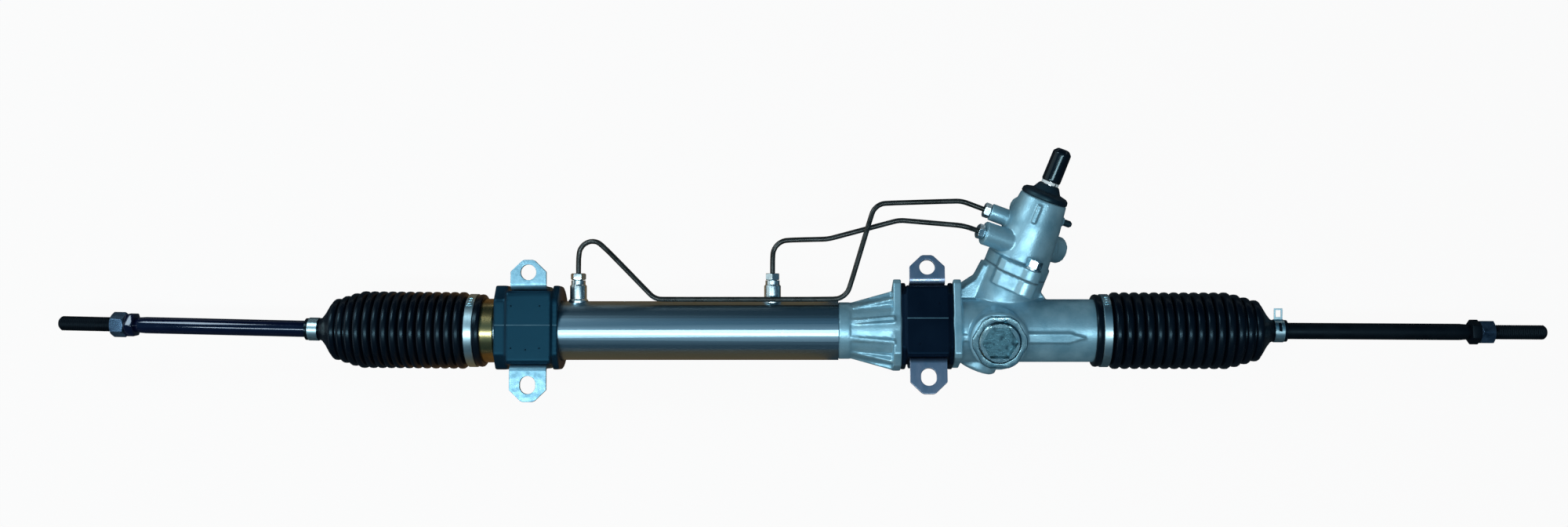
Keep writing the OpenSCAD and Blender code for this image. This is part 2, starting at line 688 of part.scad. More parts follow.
// The bent strap seen along the rack, as one outline: down its bush side and back along its outer side
function arc(y, z, r, from, to, steps) =
    [for (i = [0:steps]) let (a = from + (to - from) * i / steps) [y + r * cos(a), z + r * sin(a)]];
function backwards(points) = [for (i = [len(points) - 1:-1:0]) points[i]];
function flipped(points) = [for (p = backwards(points)) [-p[0], p[1]]];
function ear_face(end, r) = concat(
    [[end, axis_drop - clamp_t - strap_bend + r]],
    arc(strap_r + clamp_t + strap_bend, axis_drop - clamp_t - strap_bend, r, 90, 180, 6)
);
strap_outline = concat(
    ear_face(upper_ear - clamp_lift, strap_bend + clamp_t), arc(0, 0, strap_r, 0, -180, 48),
    flipped(ear_face(lower_ear + clamp_lift, strap_bend + clamp_t)),
    flipped(backwards(ear_face(lower_ear + clamp_lift, strap_bend))),
    arc(0, 0, strap_r + clamp_t, -180, 0, 48), backwards(ear_face(upper_ear - clamp_lift, strap_bend))
);

module ear_plan(side, wide, end) {
    w = wide / 2;
    scale([1, side]) polygon([
        [-w, -1], [-w, end - 9.5], [-w + 9, end - 0.8], [-w + 11, end], [w - 11, end],
        [w - 9, end - 0.8], [w, end - 9.5], [w, -1]
    ]);
}

module clamp_body() difference() {
    intersection() {
        slab(-clamp_w, clamp_w) translate([clamp_lift, 0]) polygon(strap_outline);
        translate([0, 0, -60]) linear_extrude(120) {
            ear_plan(1, clamp_w - 1, upper_ear);
            ear_plan(-1, clamp_w, lower_ear);
        }
    }
    translate([0, upper_hole, 0]) cylinder(r = bolt_hole_d / 2, h = 60);
    for (end = [-1, 1]) translate([0, -lower_hole + end * (bolt_slot_len - bolt_hole_d) / 2, 0])
        cylinder(r = bolt_hole_d / 2, h = 60);
    translate([-bolt_hole_d / 2, -lower_hole - (bolt_slot_len - bolt_hole_d) / 2, 0])
        cube([bolt_hole_d, bolt_slot_len - bolt_hole_d, 60]);
}

// A split rubber bush: a block that carries the strap between two rims
module bush_body(left, right, block_w, rim_front, bore_r) {
    seam_y = 4;
    difference() {
        translate([0, clamp_lift, 0]) {
            slab(-block_w / 2, block_w / 2) plate_outline(bush_r, axis_drop, 2.6, 2.6);
            slab(-left, -block_w / 2 + 0.1) plate_outline(bush_r + bush_rim, rim_front, 12, 10);
            slab(block_w / 2 - 0.1, right) plate_outline(bush_r + bush_rim, rim_front, 12, 10);
        }
        rotate([0, 90, 0]) cylinder(r = bore_r, h = 2 * (left + right), center = true);
        translate([-left - 1, seam_y - 0.3, 0]) cube([left + right + 2, 0.6, axis_drop + 1]);
    }
}

module pinion_clamp() color("lightsteelblue") on_axis() clamp_body();
module pinion_clamp_bush() color("black") on_axis() {
    half_gap = plate_gap / 2 - seat_gap;
    bush_body(half_gap, half_gap, clamp_w + 4.6, axis_drop - 1.5, barrel_r - 0.6 + seat_gap);
}
module at_cylinder_clamp() on_axis() translate([-clamp_pitch, 0, 0]) rotate([clamp_turn, 0, 0]) children();
module cylinder_clamp() color("lightsteelblue") at_cylinder_clamp() clamp_body();
module cylinder_clamp_bush() color("black") at_cylinder_clamp()
    bush_body(bush_left, bush_right, clamp_w + 6.8, axis_drop - 2, tube_r + run_gap);

// Boots, measured from the housing end outwards along +X

function fold_ridge(k) = k < fold_count - 3 ? boot_r : boot_r - [1.7, 4, 6.3][k - fold_count + 3];
function fold_pitch(grip) = (grip - cone_len - first_fold) / (fold_count - 1);
function boot_outer(len) =
    let (neck = len - grip_len, grip = len - grip_len / 2, pitch = fold_pitch(grip)) concat(
        [[0.5, cuff_r + 0.3], [2.6, cuff_r + 0.8], [band_x - 0.5, cuff_r], [band_x + band_w + 0.6, cuff_r],
         [first_fold - 0.5 * pitch, boot_r - fold_depth + 1.2]],
        [for (k = [0:fold_count - 1]) let (x = first_fold + k * pitch, r = fold_ridge(k)) each [
            [x - 0.36 * pitch, r - 0.5], [x - 0.2 * pitch, r], [x + 0.2 * pitch, r],
            [x + 0.36 * pitch, r - 0.5],
            if (k < fold_count - 1) [x + 0.5 * pitch, r - fold_depth]
        ]],
        [[neck - 0.6, grip_r + 1.4], [grip - clip_w / 2 - 1.1, grip_r + 0.6],
         [grip - clip_w / 2 - 0.7, grip_r], [grip + clip_w / 2 + 0.7, grip_r],
         [grip + clip_w / 2 + 1.1, grip_r + 0.6], [len, grip_r + 0.6]]
    );
function shell(outer, wall, seat_r, end_r, neck) =
    [for (i = [len(outer) - 1:-1:0]) [outer[i][0],
        outer[i][0] < cuff_lap - 2 ? seat_r
            : outer[i][0] > neck - 1 ? end_r : max(end_r, outer[i][1] - wall)]];
module boot(len, seat_r) {
    outer = boot_outer(len);
    turned(concat(outer, shell(outer, boot_wall, seat_r, rod_d / 2 + 0.4, len - grip_len)));
}

cuff_lap = 17;
left_boot_len = left_grip + grip_len / 2 + tube_left + cuff_lap - left_ball;
right_boot_len = right_grip + grip_len / 2 + right_ball - housing_reach + cuff_lap;
module at_left_cuff() on_axis() translate([tube_left + cuff_lap, 0, 0])
    rotate([0, 0, 180 - asin(left_grip * sin(left_rod_lean) / left_boot_len)]) children();
module at_right_cuff() on_axis() translate([housing_reach - cuff_lap, 0, 0])
    rotate([0, 0, -asin(right_grip * sin(right_rod_lean) / right_boot_len)]) children();

module left_boot() color("black") at_left_cuff() boot(left_boot_len, sleeve_d / 2 + 0.25);
module right_boot() color("black") at_right_cuff() boot(right_boot_len, barrel_r + 0.25);

module band_clamp() {
    x0 = band_x;
    turned([
        [x0, cuff_r + seat_gap], [x0, cuff_r + band_t], [x0 + band_w, cuff_r + band_t],
        [x0 + band_w, cuff_r + seat_gap]
    ]);
    translate([x0 + 0.8, -4, cuff_r + band_t - 0.5]) cube([band_w - 1.6, 8, 1.2]);
}
module left_band_clamp() color("silver") at_left_cuff() rotate([130, 0, 0]) band_clamp();
module right_band_clamp() color("silver") at_right_cuff() rotate([-100, 0, 0]) band_clamp();

// Rack, piston and sockets

// Sweep of the tooth spaces, cut square to the leaned tooth direction
module tooth_spaces() {
    half = pitch_tooth / 2;
    tip = half + rack_add * tan(pressure_angle);
    root = half - rack_ded * tan(pressure_angle);
    deep = centre_distance - pitch_r - rack_ded;
    points = [for (i = [-spaces_left:spaces_right]) let (s = i * tooth_pitch) each [
        [s - tip, -tooth_tip_z], [s - root, -deep], [s + root, -deep], [s + tip, -tooth_tip_z]
    ]];
    reach = max(spaces_left, spaces_right) * rack_space * sin(pinion_lean) + rack_d;
    rotate([0, 0, -pinion_lean]) rotate([90, 0, 0]) linear_extrude(2 * reach, center = true) polygon(concat(
        [[-spaces_left * tooth_pitch - tip, -rack_d]], points, [[spaces_right * tooth_pitch + tip, -rack_d]]
    ));
}

module rack_bar() color("silver") difference() {
    on_axis() turned([
        [left_ball + socket_back, 0], [left_ball + socket_back, rack_r - 1],
        [left_ball + socket_back + 1, rack_r],
        [piston_x - piston_len / 2 - 1.6, rack_r], [piston_x - piston_len / 2 - 1.6, rack_r - 0.9],
        [piston_x - piston_len / 2, rack_r - 0.9], [piston_x - piston_len / 2, rack_r],
        [piston_x + piston_len / 2, rack_r], [piston_x + piston_len / 2, rack_r - 0.9],
        [piston_x + piston_len / 2 + 1.6, rack_r - 0.9], [piston_x + piston_len / 2 + 1.6, rack_r],
        [right_ball - socket_back - 1, rack_r], [right_ball - socket_back, rack_r - 1],
        [right_ball - socket_back, 0]
    ]);
    tower() tooth_spaces();
    on_axis() for (side = [[left_ball + socket_back, 1], [right_ball - socket_back, -1]])
        translate([side[0], 0, 0]) rotate([0, 90 * side[1], 0]) translate([0, 0, -1]) cylinder(r = 8, h = 25);
}

module piston() color("silver") on_axis() turned([
    [piston_x - piston_len / 2, rack_r + seat_gap], [piston_x - piston_len / 2, tube_bore_r - 0.3],
    [piston_x - 2.1, tube_bore_r - 0.3], [piston_x - 2.1, tube_bore_r - 3], [piston_x + 2.1, tube_bore_r - 3],
    [piston_x + 2.1, tube_bore_r - 0.3], [piston_x + piston_len / 2, tube_bore_r - 0.3],
    [piston_x + piston_len / 2, rack_r + seat_gap]
]);

module piston_ring() color("dimgray") on_axis() turned([
    [piston_x - 2, tube_bore_r - 2.95], [piston_x - 2, tube_bore_r - run_gap],
    [piston_x + 2, tube_bore_r - run_gap], [piston_x + 2, tube_bore_r - 2.95]
]);

module piston_clips() color("gray") on_axis() for (side = [-1, 1])
    translate([piston_x + side * (piston_len / 2 + 0.8), 0, 0]) turned([
        [-0.75, rack_r - 0.85], [-0.75, rack_r + 1.8], [0.75, rack_r + 1.8], [0.75, rack_r - 0.85]
    ]);

// A ball socket with its ball centre at the origin and its mouth towards +X
module socket_body() difference() {
    union() {
        turned([
            [2 - socket_back, 0], [2 - socket_back, socket_d / 2 - 1.5], [3.5 - socket_back, socket_d / 2],
            [2, socket_d / 2], [8, socket_d / 2 - 4], [8, 0]
        ]);
        turned([[-socket_back - 19, 0], [-socket_back - 19, 7.9], [3 - socket_back, 7.9],
        [3 - socket_back, 0]]);
    }
    rotate([0, 90, 0]) rotate_extrude() half_round(cavity_r, -2 * ball_r, 2 * ball_r);
    turned([[0, 0], [0, 1], [cavity_r * cos(mouth_angle), cavity_r * sin(mouth_angle)], [9, 14.2], [9, 0]]);
    for (side = [0, 180]) rotate([side, 0, 0]) translate([2 - socket_back - 1, -20, socket_d / 2 - 2.5])
        cube([9, 40, 10]);
}
module left_socket() color("dimgray") on_axis() translate([left_ball, 0, 0]) mirror([1, 0, 0]) socket_body();
module right_socket() color("dimgray") on_axis() translate([right_ball, 0, 0]) socket_body();

module tab_washer(x) translate([x, 0, 0]) turned([[0.02, 8.1], [0.02, 15.5], [1.9, 15.5], [1.9, 8.1]]);
module left_tab_washer() color("silver") on_axis() mirror([1, 0, 0]) tab_washer(-left_ball - socket_back);
module right_tab_washer() color("silver") on_axis() tab_washer(right_ball - socket_back);

// A ball or bowl about the X axis, between two places along it
module half_round(r, x0, x1) intersection() {
    circle(r = r, $fn = 96);
    translate([0, x0]) square([r + 1, x1 - x0]);
}

module ball_seat() rotate([0, 90, 0]) rotate_extrude() difference() {
    half_round(ball_r + seat_wall, -2 * ball_r, (ball_r + seat_wall) * cos(mouth_angle + 2));
    circle(r = ball_r + 0.2, $fn = 96);
}
module left_ball_seat() color("white") at_left_ball() ball_seat();
module right_ball_seat() color("white") at_right_ball() ball_seat();

module tie_rod() {
    nut_in = rod_len - nut_from_tip - nut_h;
    rotate([0, 90, 0]) rotate_extrude() half_round(ball_r, 1.4 - ball_r, 2 * ball_r);
    turned([
        [0, 0], [0, neck_rod_r], [18, neck_rod_r], [22, rod_d / 2], [left_grip - 4, rod_d / 2],
        [nut_in - collar_h - 8, rod_d / 2], [nut_in - collar_h - 1, rod_d / 2 - 0.7],
        [nut_in - collar_h + 2, thread_root_r], [nut_in + nut_h, thread_root_r],
        [nut_in + nut_h, thread_d / 2],
        [rod_len - 2, thread_d / 2], [rod_len, thread_d / 2 - 2], [rod_len, 0]
    ]);
    translate([nut_in - collar_h, 0, 0]) rotate([0, 90, 0]) rotate([0, 0, 12])
        hex_body(nut_flat, collar_h - seat_gap, 1);
}
module left_tie_rod() color("black") at_left_ball() tie_rod();
module right_tie_rod() color("black") at_right_ball() tie_rod();

module lock_nut() translate([rod_len - nut_from_tip - nut_h, 0, 0]) rotate([0, 90, 0]) rotate([0, 0, 12])
    hex_nut(nut_flat, nut_h, thread_root_r + seat_gap, 1.4);
module left_lock_nut() color("silver") at_left_ball() lock_nut();
module right_lock_nut() color("silver") at_right_ball() lock_nut();

module spring_clip() {
    w = clip_w / 2;
    difference() {
        turned([[-w, grip_r + 0.3], [-w, grip_r + 0.3 + clip_t], [w, grip_r + 0.3 + clip_t],
        [w, grip_r + 0.3]]);
        translate([-w / 3, -grip_r - 3, 0]) cube([2 * w / 3, grip_r + 3, grip_r * 0.8]);
    }
    difference() {
        translate([-w + 0.4, -1, grip_r + 0.6]) cube([clip_w - 0.8, clip_t, clip_tab - grip_r - 0.6]);
        translate([-w + 1.8, -2, grip_r + 3]) cube([clip_w - 3.6, 3, clip_tab - grip_r - 4.4]);
    }
}
module left_spring_clip() color("silver") at_left_ball() translate([left_grip, 0, 0]) rotate([165, 0, 0])
    spring_clip();
module right_spring_clip() color("silver") at_right_ball() translate([right_grip, 0, 0]) rotate([-75, 0, 0])
    spring_clip();

// Rack guide

module rack_guide() color("gray") tower() difference() {
    rotate_extrude() polygon([
        [0, 1], [guide_r, 1], [guide_r, guide_face - 8], [guide_r - 2.2, guide_face - 8],
        [guide_r - 2.2, guide_face - 4.6], [guide_r, guide_face - 4.6], [guide_r, guide_face - 0.02],
        [0, guide_face - 0.02]
    ]);
    rotate([0, 90, 0]) cylinder(r = rack_r + run_gap + liner_t, h = 60, center = true);
    translate([0, 0, guide_pocket]) cylinder(r = pocket_r, h = 30);
}

module guide_liner() color("saddlebrown") tower() intersection() {
    difference() {
        rotate([0, 90, 0]) cylinder(r = rack_r + run_gap + liner_t - 0.02, h = guide_d * 0.8, center = true);
        rotate([0, 90, 0]) cylinder(r = rack_r + run_gap, h = 60, center = true);
        translate([-30, -30, -60]) cube([60, 60, 63]);
    }
    cylinder(r = guide_r - 0.6, h = 40);
}

module guide_ring() color("black") tower()
    ring(guide_r - 2.15, guide_r - 0.02, guide_face - 7.9, guide_face - 4.7);

// Pinion and valve

function involute(r) = let (a = acos(base_r / r)) tan(a) * 180 / PI - a;
function flank_angle(r) =
    (pitch_tooth / 2 - flank_play) / pitch_r * 180 / PI + involute(pitch_r)
        - involute(max(r, base_r + 0.001));
flank_steps = 5;
flank_radii = [for (i = [0:flank_steps])
    i == 0 ? root_r : base_r + (pinion_tip_r - base_r) * (i - 1) / (flank_steps - 1)];
module pinion_outline() polygon([for (k = [0:pinion_teeth - 1])
    let (a = k * 360 / pinion_teeth - 90) each concat(
    [for (r = flank_radii) r * [cos(a - flank_angle(r)), sin(a - flank_angle(r))]],
    [for (i = [flank_steps:-1:0])
        let (r = flank_radii[i]) r * [cos(a + flank_angle(r)), sin(a + flank_angle(r))]]
)]);

module pinion() color("silver") on_pinion() difference() {
    union() {
        translate([0, 0, -pinion_face / 2]) linear_extrude(pinion_face) pinion_outline();
        ring(0, lower_journal_r, lower_end, -pinion_face / 2 + 1);
        rotate_extrude() polygon([
            [0, pinion_face / 2 - 1], [bearing_bore_r - 1.5, pinion_face / 2 - 1 + 2],
            [bearing_bore_r - 1.5, 22],
            [bearing_bore_r - run_gap, 22], [bearing_bore_r - run_gap, bearing_h[1] + 0.1],
            [head_r, bearing_h[1] + 0.1],
            [head_r, head_top], [0, head_top]
        ]);
    }
    translate([0, 0, 16]) cylinder(r = bar_end_r + run_gap, h = 40);
    translate([0, 0, cup_floor]) cylinder(r = shaft_r + run_gap, h = 10);
}

module valve_sleeve() color("lightgray") on_pinion() difference() {
    ring(shaft_r + run_gap, sleeve_r, head_top + 0.02, sleeve_top);
    for (h = ring_h) ring(sleeve_r - 1.2, sleeve_r + 1, h - 1.1, h + 1.1);
    for (i = [0:5]) for (h = [65, 85]) translate([0, 0, h]) rotate([0, 90, 60 * i]) cylinder(r = 1.5, h = 20);
}

module sleeve_rings() color("dimgray") on_pinion() for (h = ring_h)
    ring(sleeve_r - 1.15, valve_bore_r - run_gap, h - 1, h + 1);

spline_count = 24;
module spline_outline() polygon([for (i = [0:2 * spline_count - 1])
    (i % 2 == 0 ? stem_r - 0.12 : stem_r - 0.7)
        * [cos(180 * i / spline_count), sin(180 * i / spline_count)]]);

module input_shaft() color("silver") on_pinion() difference() {
    union() {
        rotate_extrude() polygon([
            [0, cup_floor + 1.5], [shaft_r, cup_floor + 1.5], [shaft_r, shaft_step], [stem_r, shaft_step],
            [stem_r, ring_z - 0.1], [stem_r - 0.7, ring_z - 0.1], [stem_r - 0.7, ring_z + 2.3],
            [stem_r - 0.05, ring_z + 2.3], [stem_r - 0.05, cap_z + 3], [stem_r - 0.8, cap_z + 3],
            [0, cap_z + 3]
        ]);
        translate([0, 0, cap_z + 2]) linear_extrude(shaft_top - cap_z - 2) spline_outline();
    }
    translate([0, 0, cup_floor]) cylinder(r = bar_end_r + seat_gap, h = 130);
    for (i = [0:5]) rotate([0, 0, 60 * i + 30]) translate([shaft_r + 0.6, 0, 60]) cylinder(r = 1.8, h = 30);
    translate([0, 0, shaft_top - 7]) rotate([90, 0, 0]) cylinder(r = 1.5 + seat_gap, h = 40, center = true);
}

module torsion_bar() color("gray") on_pinion() difference() {
    rotate_extrude() polygon([
        [0, 18], [bar_end_r, 18], [bar_end_r, 34], [bar_r, 36], [bar_r, shaft_top - 18],
        [bar_end_r, shaft_top - 16],
        [bar_end_r, shaft_top - 1], [0, shaft_top - 1]
    ]);
    translate([0, 0, shaft_top - 7]) rotate([90, 0, 0]) cylinder(r = 1.5 + seat_gap, h = 40, center = true);
}

module torsion_pin() color("gray") on_pinion() translate([0, 0, shaft_top - 7]) rotate([90, 0, 0])
    cylinder(r = 1.5, h = 2 * stem_r - 2.4, center = true);

module shaft_ring() color("white") on_pinion() difference() {
    ring(stem_r - 0.65, stem_r + 0.8, ring_z, ring_z + 2.2);
    translate([3, -12, ring_z - 1]) cube([1.2, 12, 5]);
}

module spline_cap() color("black") on_pinion() rotate_extrude() polygon([
    [stem_r + 0.25, cap_z], [stem_r + 0.25 + cap_wall + 0.2, cap_z],
    [stem_r + 0.25 + cap_wall, cap_z + cap_len - 3],
    [stem_r - 1.4, cap_z + cap_len - 0.4], [stem_r - 2.4, cap_z + cap_len], [0, cap_z + cap_len],
    [0, cap_z + cap_len - 1.5], [stem_r - 2, cap_z + cap_len - 1.5], [stem_r + 0.1, cap_z + cap_len - 3]
]);

cylinder_tube();
end_sleeve();
unions();
union_nuts();
end_bush();
outer_rod_seal();
inner_rod_seal();
gear_housing();
lower_bush();
bore_plug();
pinion_bearing();
guide_plug();
plug_lock_nut();
guide_spring();
gasket();
valve_housing();
flange_bolts();
upper_bush();
shaft_seal();
dust_cover();
bleed_stopper();
port_nuts();
left_feed_pipe();
right_feed_pipe();
pinion_clamp();
pinion_clamp_bush();
left_boot();
right_boot();
left_band_clamp();
right_band_clamp();
cylinder_clamp();
cylinder_clamp_bush();
rack_bar();
piston();
piston_ring();
piston_clips();
left_socket();
right_socket();
left_tab_washer();
right_tab_washer();
left_ball_seat();
right_ball_seat();
left_tie_rod();
right_tie_rod();
left_lock_nut();
right_lock_nut();
left_spring_clip();
right_spring_clip();
rack_guide();
guide_liner();
guide_ring();
pinion();
valve_sleeve();
sleeve_rings();
input_shaft();
torsion_bar();
torsion_pin();
shaft_ring();
spline_cap();
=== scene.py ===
import math

import bmesh
import bpy
from mathutils import Matrix, Vector


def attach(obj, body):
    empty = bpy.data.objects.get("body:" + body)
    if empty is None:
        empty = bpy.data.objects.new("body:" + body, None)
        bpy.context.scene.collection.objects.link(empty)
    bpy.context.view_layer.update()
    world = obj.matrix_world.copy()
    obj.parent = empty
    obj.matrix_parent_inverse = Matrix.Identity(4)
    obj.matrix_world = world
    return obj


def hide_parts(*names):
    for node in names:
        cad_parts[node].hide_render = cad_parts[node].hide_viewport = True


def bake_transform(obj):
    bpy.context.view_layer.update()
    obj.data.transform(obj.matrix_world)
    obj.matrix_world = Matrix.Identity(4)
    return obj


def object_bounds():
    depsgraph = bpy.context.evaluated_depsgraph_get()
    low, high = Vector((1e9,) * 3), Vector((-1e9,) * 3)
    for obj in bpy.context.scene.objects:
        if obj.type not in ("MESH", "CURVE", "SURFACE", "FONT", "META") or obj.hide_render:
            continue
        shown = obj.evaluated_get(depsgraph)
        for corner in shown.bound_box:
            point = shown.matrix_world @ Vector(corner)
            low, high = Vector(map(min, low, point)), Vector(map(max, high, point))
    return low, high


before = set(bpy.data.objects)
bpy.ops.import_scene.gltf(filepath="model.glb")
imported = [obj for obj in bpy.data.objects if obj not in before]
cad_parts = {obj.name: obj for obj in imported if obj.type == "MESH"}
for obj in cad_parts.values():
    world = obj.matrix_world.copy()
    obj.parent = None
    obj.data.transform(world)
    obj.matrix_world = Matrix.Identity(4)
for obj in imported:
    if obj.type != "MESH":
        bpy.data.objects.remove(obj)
cad_box = [list(corner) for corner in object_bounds()]
scene = bpy.context.scene
scene.view_settings.view_transform = "Standard"


# Camera
# The photograph looks down on the mounting side, tipped back by 15 degrees, from a little over a metre away.
# The rack lies a little below and to the right of the picture's middle.
view_tilt = math.radians(15)
to_eye = Vector((0, -math.sin(view_tilt), math.cos(view_tilt)))
view_up = Vector((0, math.cos(view_tilt), math.sin(view_tilt)))
metres_per_pixel = 0.00064
picture_width = 2000
eye_distance = 1.3
rack_drop = 0.028
picture_middle = Vector((-0.08384, 0, -rack_drop)) + view_up * 0.05472

camera_data = bpy.data.cameras.new("camera")
camera_data.sensor_width = 36
camera_data.lens = camera_data.sensor_width * eye_distance / (metres_per_pixel * picture_width)
camera_data.shift_x = -0.025
camera_data.clip_end = 50
camera = bpy.data.objects.new("camera", camera_data)
scene.collection.objects.link(camera)
camera.matrix_world = (
    Matrix.Translation(picture_middle + to_eye * eye_distance)
    @ Matrix((Vector((1, 0, 0)), view_up, to_eye)).transposed().to_4x4()
)
scene.camera = camera


# Floor, lamps and reflector cards
# The object lies on its back on a white studio floor, under one long soft lamp and a weaker one.
# Cards that gloss alone can see arch over it and lie below it, so that round metal shows dark and warm bands.
def joined(tree, start, end):
    tree.links.new(start, end)


def seen_as_white(tree, share):
    """How much of the plain white background a ray sees, if it comes from the camera, gloss or glass"""
    rays = tree.nodes.new("ShaderNodeLightPath")
    gloss_or_glass = tree.nodes.new("ShaderNodeMath")
    gloss_or_glass.operation = "MAXIMUM"
    joined(tree, rays.outputs["Is Glossy Ray"], gloss_or_glass.inputs[0])
    joined(tree, rays.outputs["Is Transmission Ray"], gloss_or_glass.inputs[1])
    seen = tree.nodes.new("ShaderNodeMath")
    seen.operation = "MAXIMUM"
    joined(tree, rays.outputs["Is Camera Ray"], seen.inputs[0])
    joined(tree, gloss_or_glass.outputs[0], seen.inputs[1])
    part = tree.nodes.new("ShaderNodeMath")
    part.operation = "MULTIPLY"
    part.inputs[1].default_value = share
    joined(tree, seen.outputs[0], part.inputs[0])
    return part.outputs[0]


def staged(name, sheet, paint):
    data = bpy.data.meshes.new(name)
    sheet.to_mesh(data)
    sheet.free()
    data.materials.append(paint)
    piece = bpy.data.objects.new(name, data)
    scene.collection.objects.link(piece)
    return piece


floor_height = cad_box[0][2] - 0.0005
floor_sheet = bmesh.new()
bmesh.ops.create_grid(floor_sheet, x_segments=1, y_segments=1, size=6)
bmesh.ops.translate(floor_sheet, verts=floor_sheet.verts, vec=(0, 0, floor_height))
floor_paint = bpy.data.materials.new("floor_paint")
floor_paint.use_nodes = True
tree = floor_paint.node_tree
matt = tree.nodes["Principled BSDF"]
matt.inputs["Base Color"].default_value = (0.42, 0.43, 0.44, 1)
matt.inputs["Roughness"].default_value = 0.9
glow = tree.nodes.new("ShaderNodeEmission")
glow.inputs["Strength"].default_value = 1
mix = tree.nodes.new("ShaderNodeMixShader")
joined(tree, seen_as_white(tree, 0.94), mix.inputs[0])
joined(tree, matt.outputs[0], mix.inputs[1])
joined(tree, glow.outputs[0], mix.inputs[2])
joined(tree, mix.outputs[0], tree.nodes["Material Output"].inputs["Surface"])
staged("floor", floor_sheet, floor_paint)

world = bpy.data.worlds.new("studio")
scene.world = world
world.use_nodes = True
tree = world.node_tree
room = tree.nodes["Background"]
room.inputs["Color"].default_value = (0.84, 0.95, 1.0, 1)
room.inputs["Strength"].default_value = 0.3
white = tree.nodes.new("ShaderNodeBackground")
white.inputs["Strength"].default_value = 1
mix = tree.nodes.new("ShaderNodeMixShader")
joined(tree, seen_as_white(tree, 1), mix.inputs[0])
joined(tree, room.outputs[0], mix.inputs[1])
joined(tree, white.outputs[0], mix.inputs[2])
joined(tree, mix.outputs[0], tree.nodes["World Output"].inputs["Surface"])


def soft_lamp(name, place, aim, size, watts, colour):
    data = bpy.data.lights.new(name, "AREA")
    data.shape = "RECTANGLE"
    data.size, data.size_y = size
    data.energy = watts
    data.color = colour
    lamp = bpy.data.objects.new(name, data)
    scene.collection.objects.link(lamp)
    lamp.location = place
    lamp.rotation_mode = "QUATERNION"
    lamp.rotation_quaternion = (Vector(place) - Vector(aim)).to_track_quat("Z", "Y")
    lamp.visible_camera = False


soft_lamp("long_lamp", (-0.34, -0.61, 1.34), (-0.34, 0, -rack_drop), (1.7, 0.15), 14.5, (0.88, 0.97, 1))
soft_lamp("side_lamp", (-1.1, 0.7, 1.1), (0.1, 0, 0), (0.5, 0.5), 7, (0.86, 0.96, 1))


def card(name, sheet, colour):
    """A card that only gloss can see"""
    paint = bpy.data.materials.new(name)
    paint.use_nodes = True
    tree = paint.node_tree
    shade = tree.nodes.new("ShaderNodeEmission")
    shade.inputs["Color"].default_value = (*colour, 1)
    joined(tree, shade.outputs[0], tree.nodes["Material Output"].inputs["Surface"])
    panel = staged(name, sheet, paint)
    panel.visible_camera = False
    panel.visible_diffuse = False
    panel.visible_shadow = False
    panel.visible_transmission = False


def arched(low, high, reach=1.8):
    """A sheet curved round the rack's axis, between two angles from straight up"""
    sheet = bmesh.new()
    lean = math.radians(low)
    ends = [
        sheet.verts.new((x, reach * math.sin(lean), reach * math.cos(lean) - rack_drop)) for x in (-2.2, 1.9)
    ]
    bmesh.ops.spin(
        sheet, geom=[*ends, sheet.edges.new(ends)], cent=(0, 0, -rack_drop), axis=(1, 0, 0),
        angle=math.radians(low - high), steps=8
    )
    return sheet


def flat(length, width, place):
    sheet = bmesh.new()
    bmesh.ops.create_grid(sheet, x_segments=1, y_segments=1, size=0.5)
    bmesh.ops.scale(sheet, verts=sheet.verts, vec=(length, width, 1))
    bmesh.ops.transform(sheet, verts=sheet.verts, matrix=place)
    return sheet


card("far_card", arched(34, 88), (0.014, 0.034, 0.052))
card("top_card", arched(-50, 34), (0.045, 0.125, 0.19))
card("near_card", arched(-92, -50), (0.03, 0.065, 0.095))
low_place = Matrix.Translation((-0.1, 0, floor_height + 0.0001))
warm_place = Matrix.Translation((-0.25, 0, floor_height + 0.0002))
end_place = Matrix.Translation((1.9, 0, 0.6)) @ Matrix.Rotation(math.pi / 2, 4, "Y")
card("low_card", flat(4, 2.6, low_place), (0.035, 0.05, 0.06))
card("warm_card", flat(0.34, 0.9, warm_place), (0.17, 0.105, 0.055))
card("end_card", flat(3, 3, end_place), (0.03, 0.06, 0.09))


# Cylinder tube
# The tube is drawn steel, left bare, with fine lines along its length and a little oil and handling on it.
# Every metal here shows some blotches in its gloss, so the blotches and the grain are one shared group.
def shader_group(name, values, results):
    tree = bpy.data.node_groups.new(name, "ShaderNodeTree")
    tree.interface.new_socket("Place", in_out="INPUT", socket_type="NodeSocketVector")
    for label, value in values:
        socket = tree.interface.new_socket(label, in_out="INPUT", socket_type="NodeSocketFloat")
        socket.default_value = value
    for label in results:
        tree.interface.new_socket(label, in_out="OUTPUT", socket_type="NodeSocketFloat")
    return tree, tree.nodes.new("NodeGroupInput").outputs, tree.nodes.new("NodeGroupOutput").inputs


handling, given, result = shader_group(
    "handling", [("Blotch Scale", 60), ("Grain Scale", 900), ("Grain Detail", 3)], ["Blotch", "Grain"]
)
blotch = handling.nodes.new("ShaderNodeTexNoise")
blotch.inputs["Detail"].default_value = 4
grain = handling.nodes.new("ShaderNodeTexNoise")
joined(handling, given["Place"], blotch.inputs["Vector"])
joined(handling, given["Blotch Scale"], blotch.inputs["Scale"])
joined(handling, given["Place"], grain.inputs["Vector"])
joined(handling, given["Grain Scale"], grain.inputs["Scale"])
joined(handling, given["Grain Detail"], grain.inputs["Detail"])
spread = handling.nodes.new("ShaderNodeMapRange")
spread.inputs["From Min"].default_value = 0.32
spread.inputs["From Max"].default_value = 0.68
joined(handling, blotch.outputs["Fac"], spread.inputs["Value"])
joined(handling, spread.outputs["Result"], result["Blotch"])
joined(handling, grain.outputs["Fac"], result["Grain"])


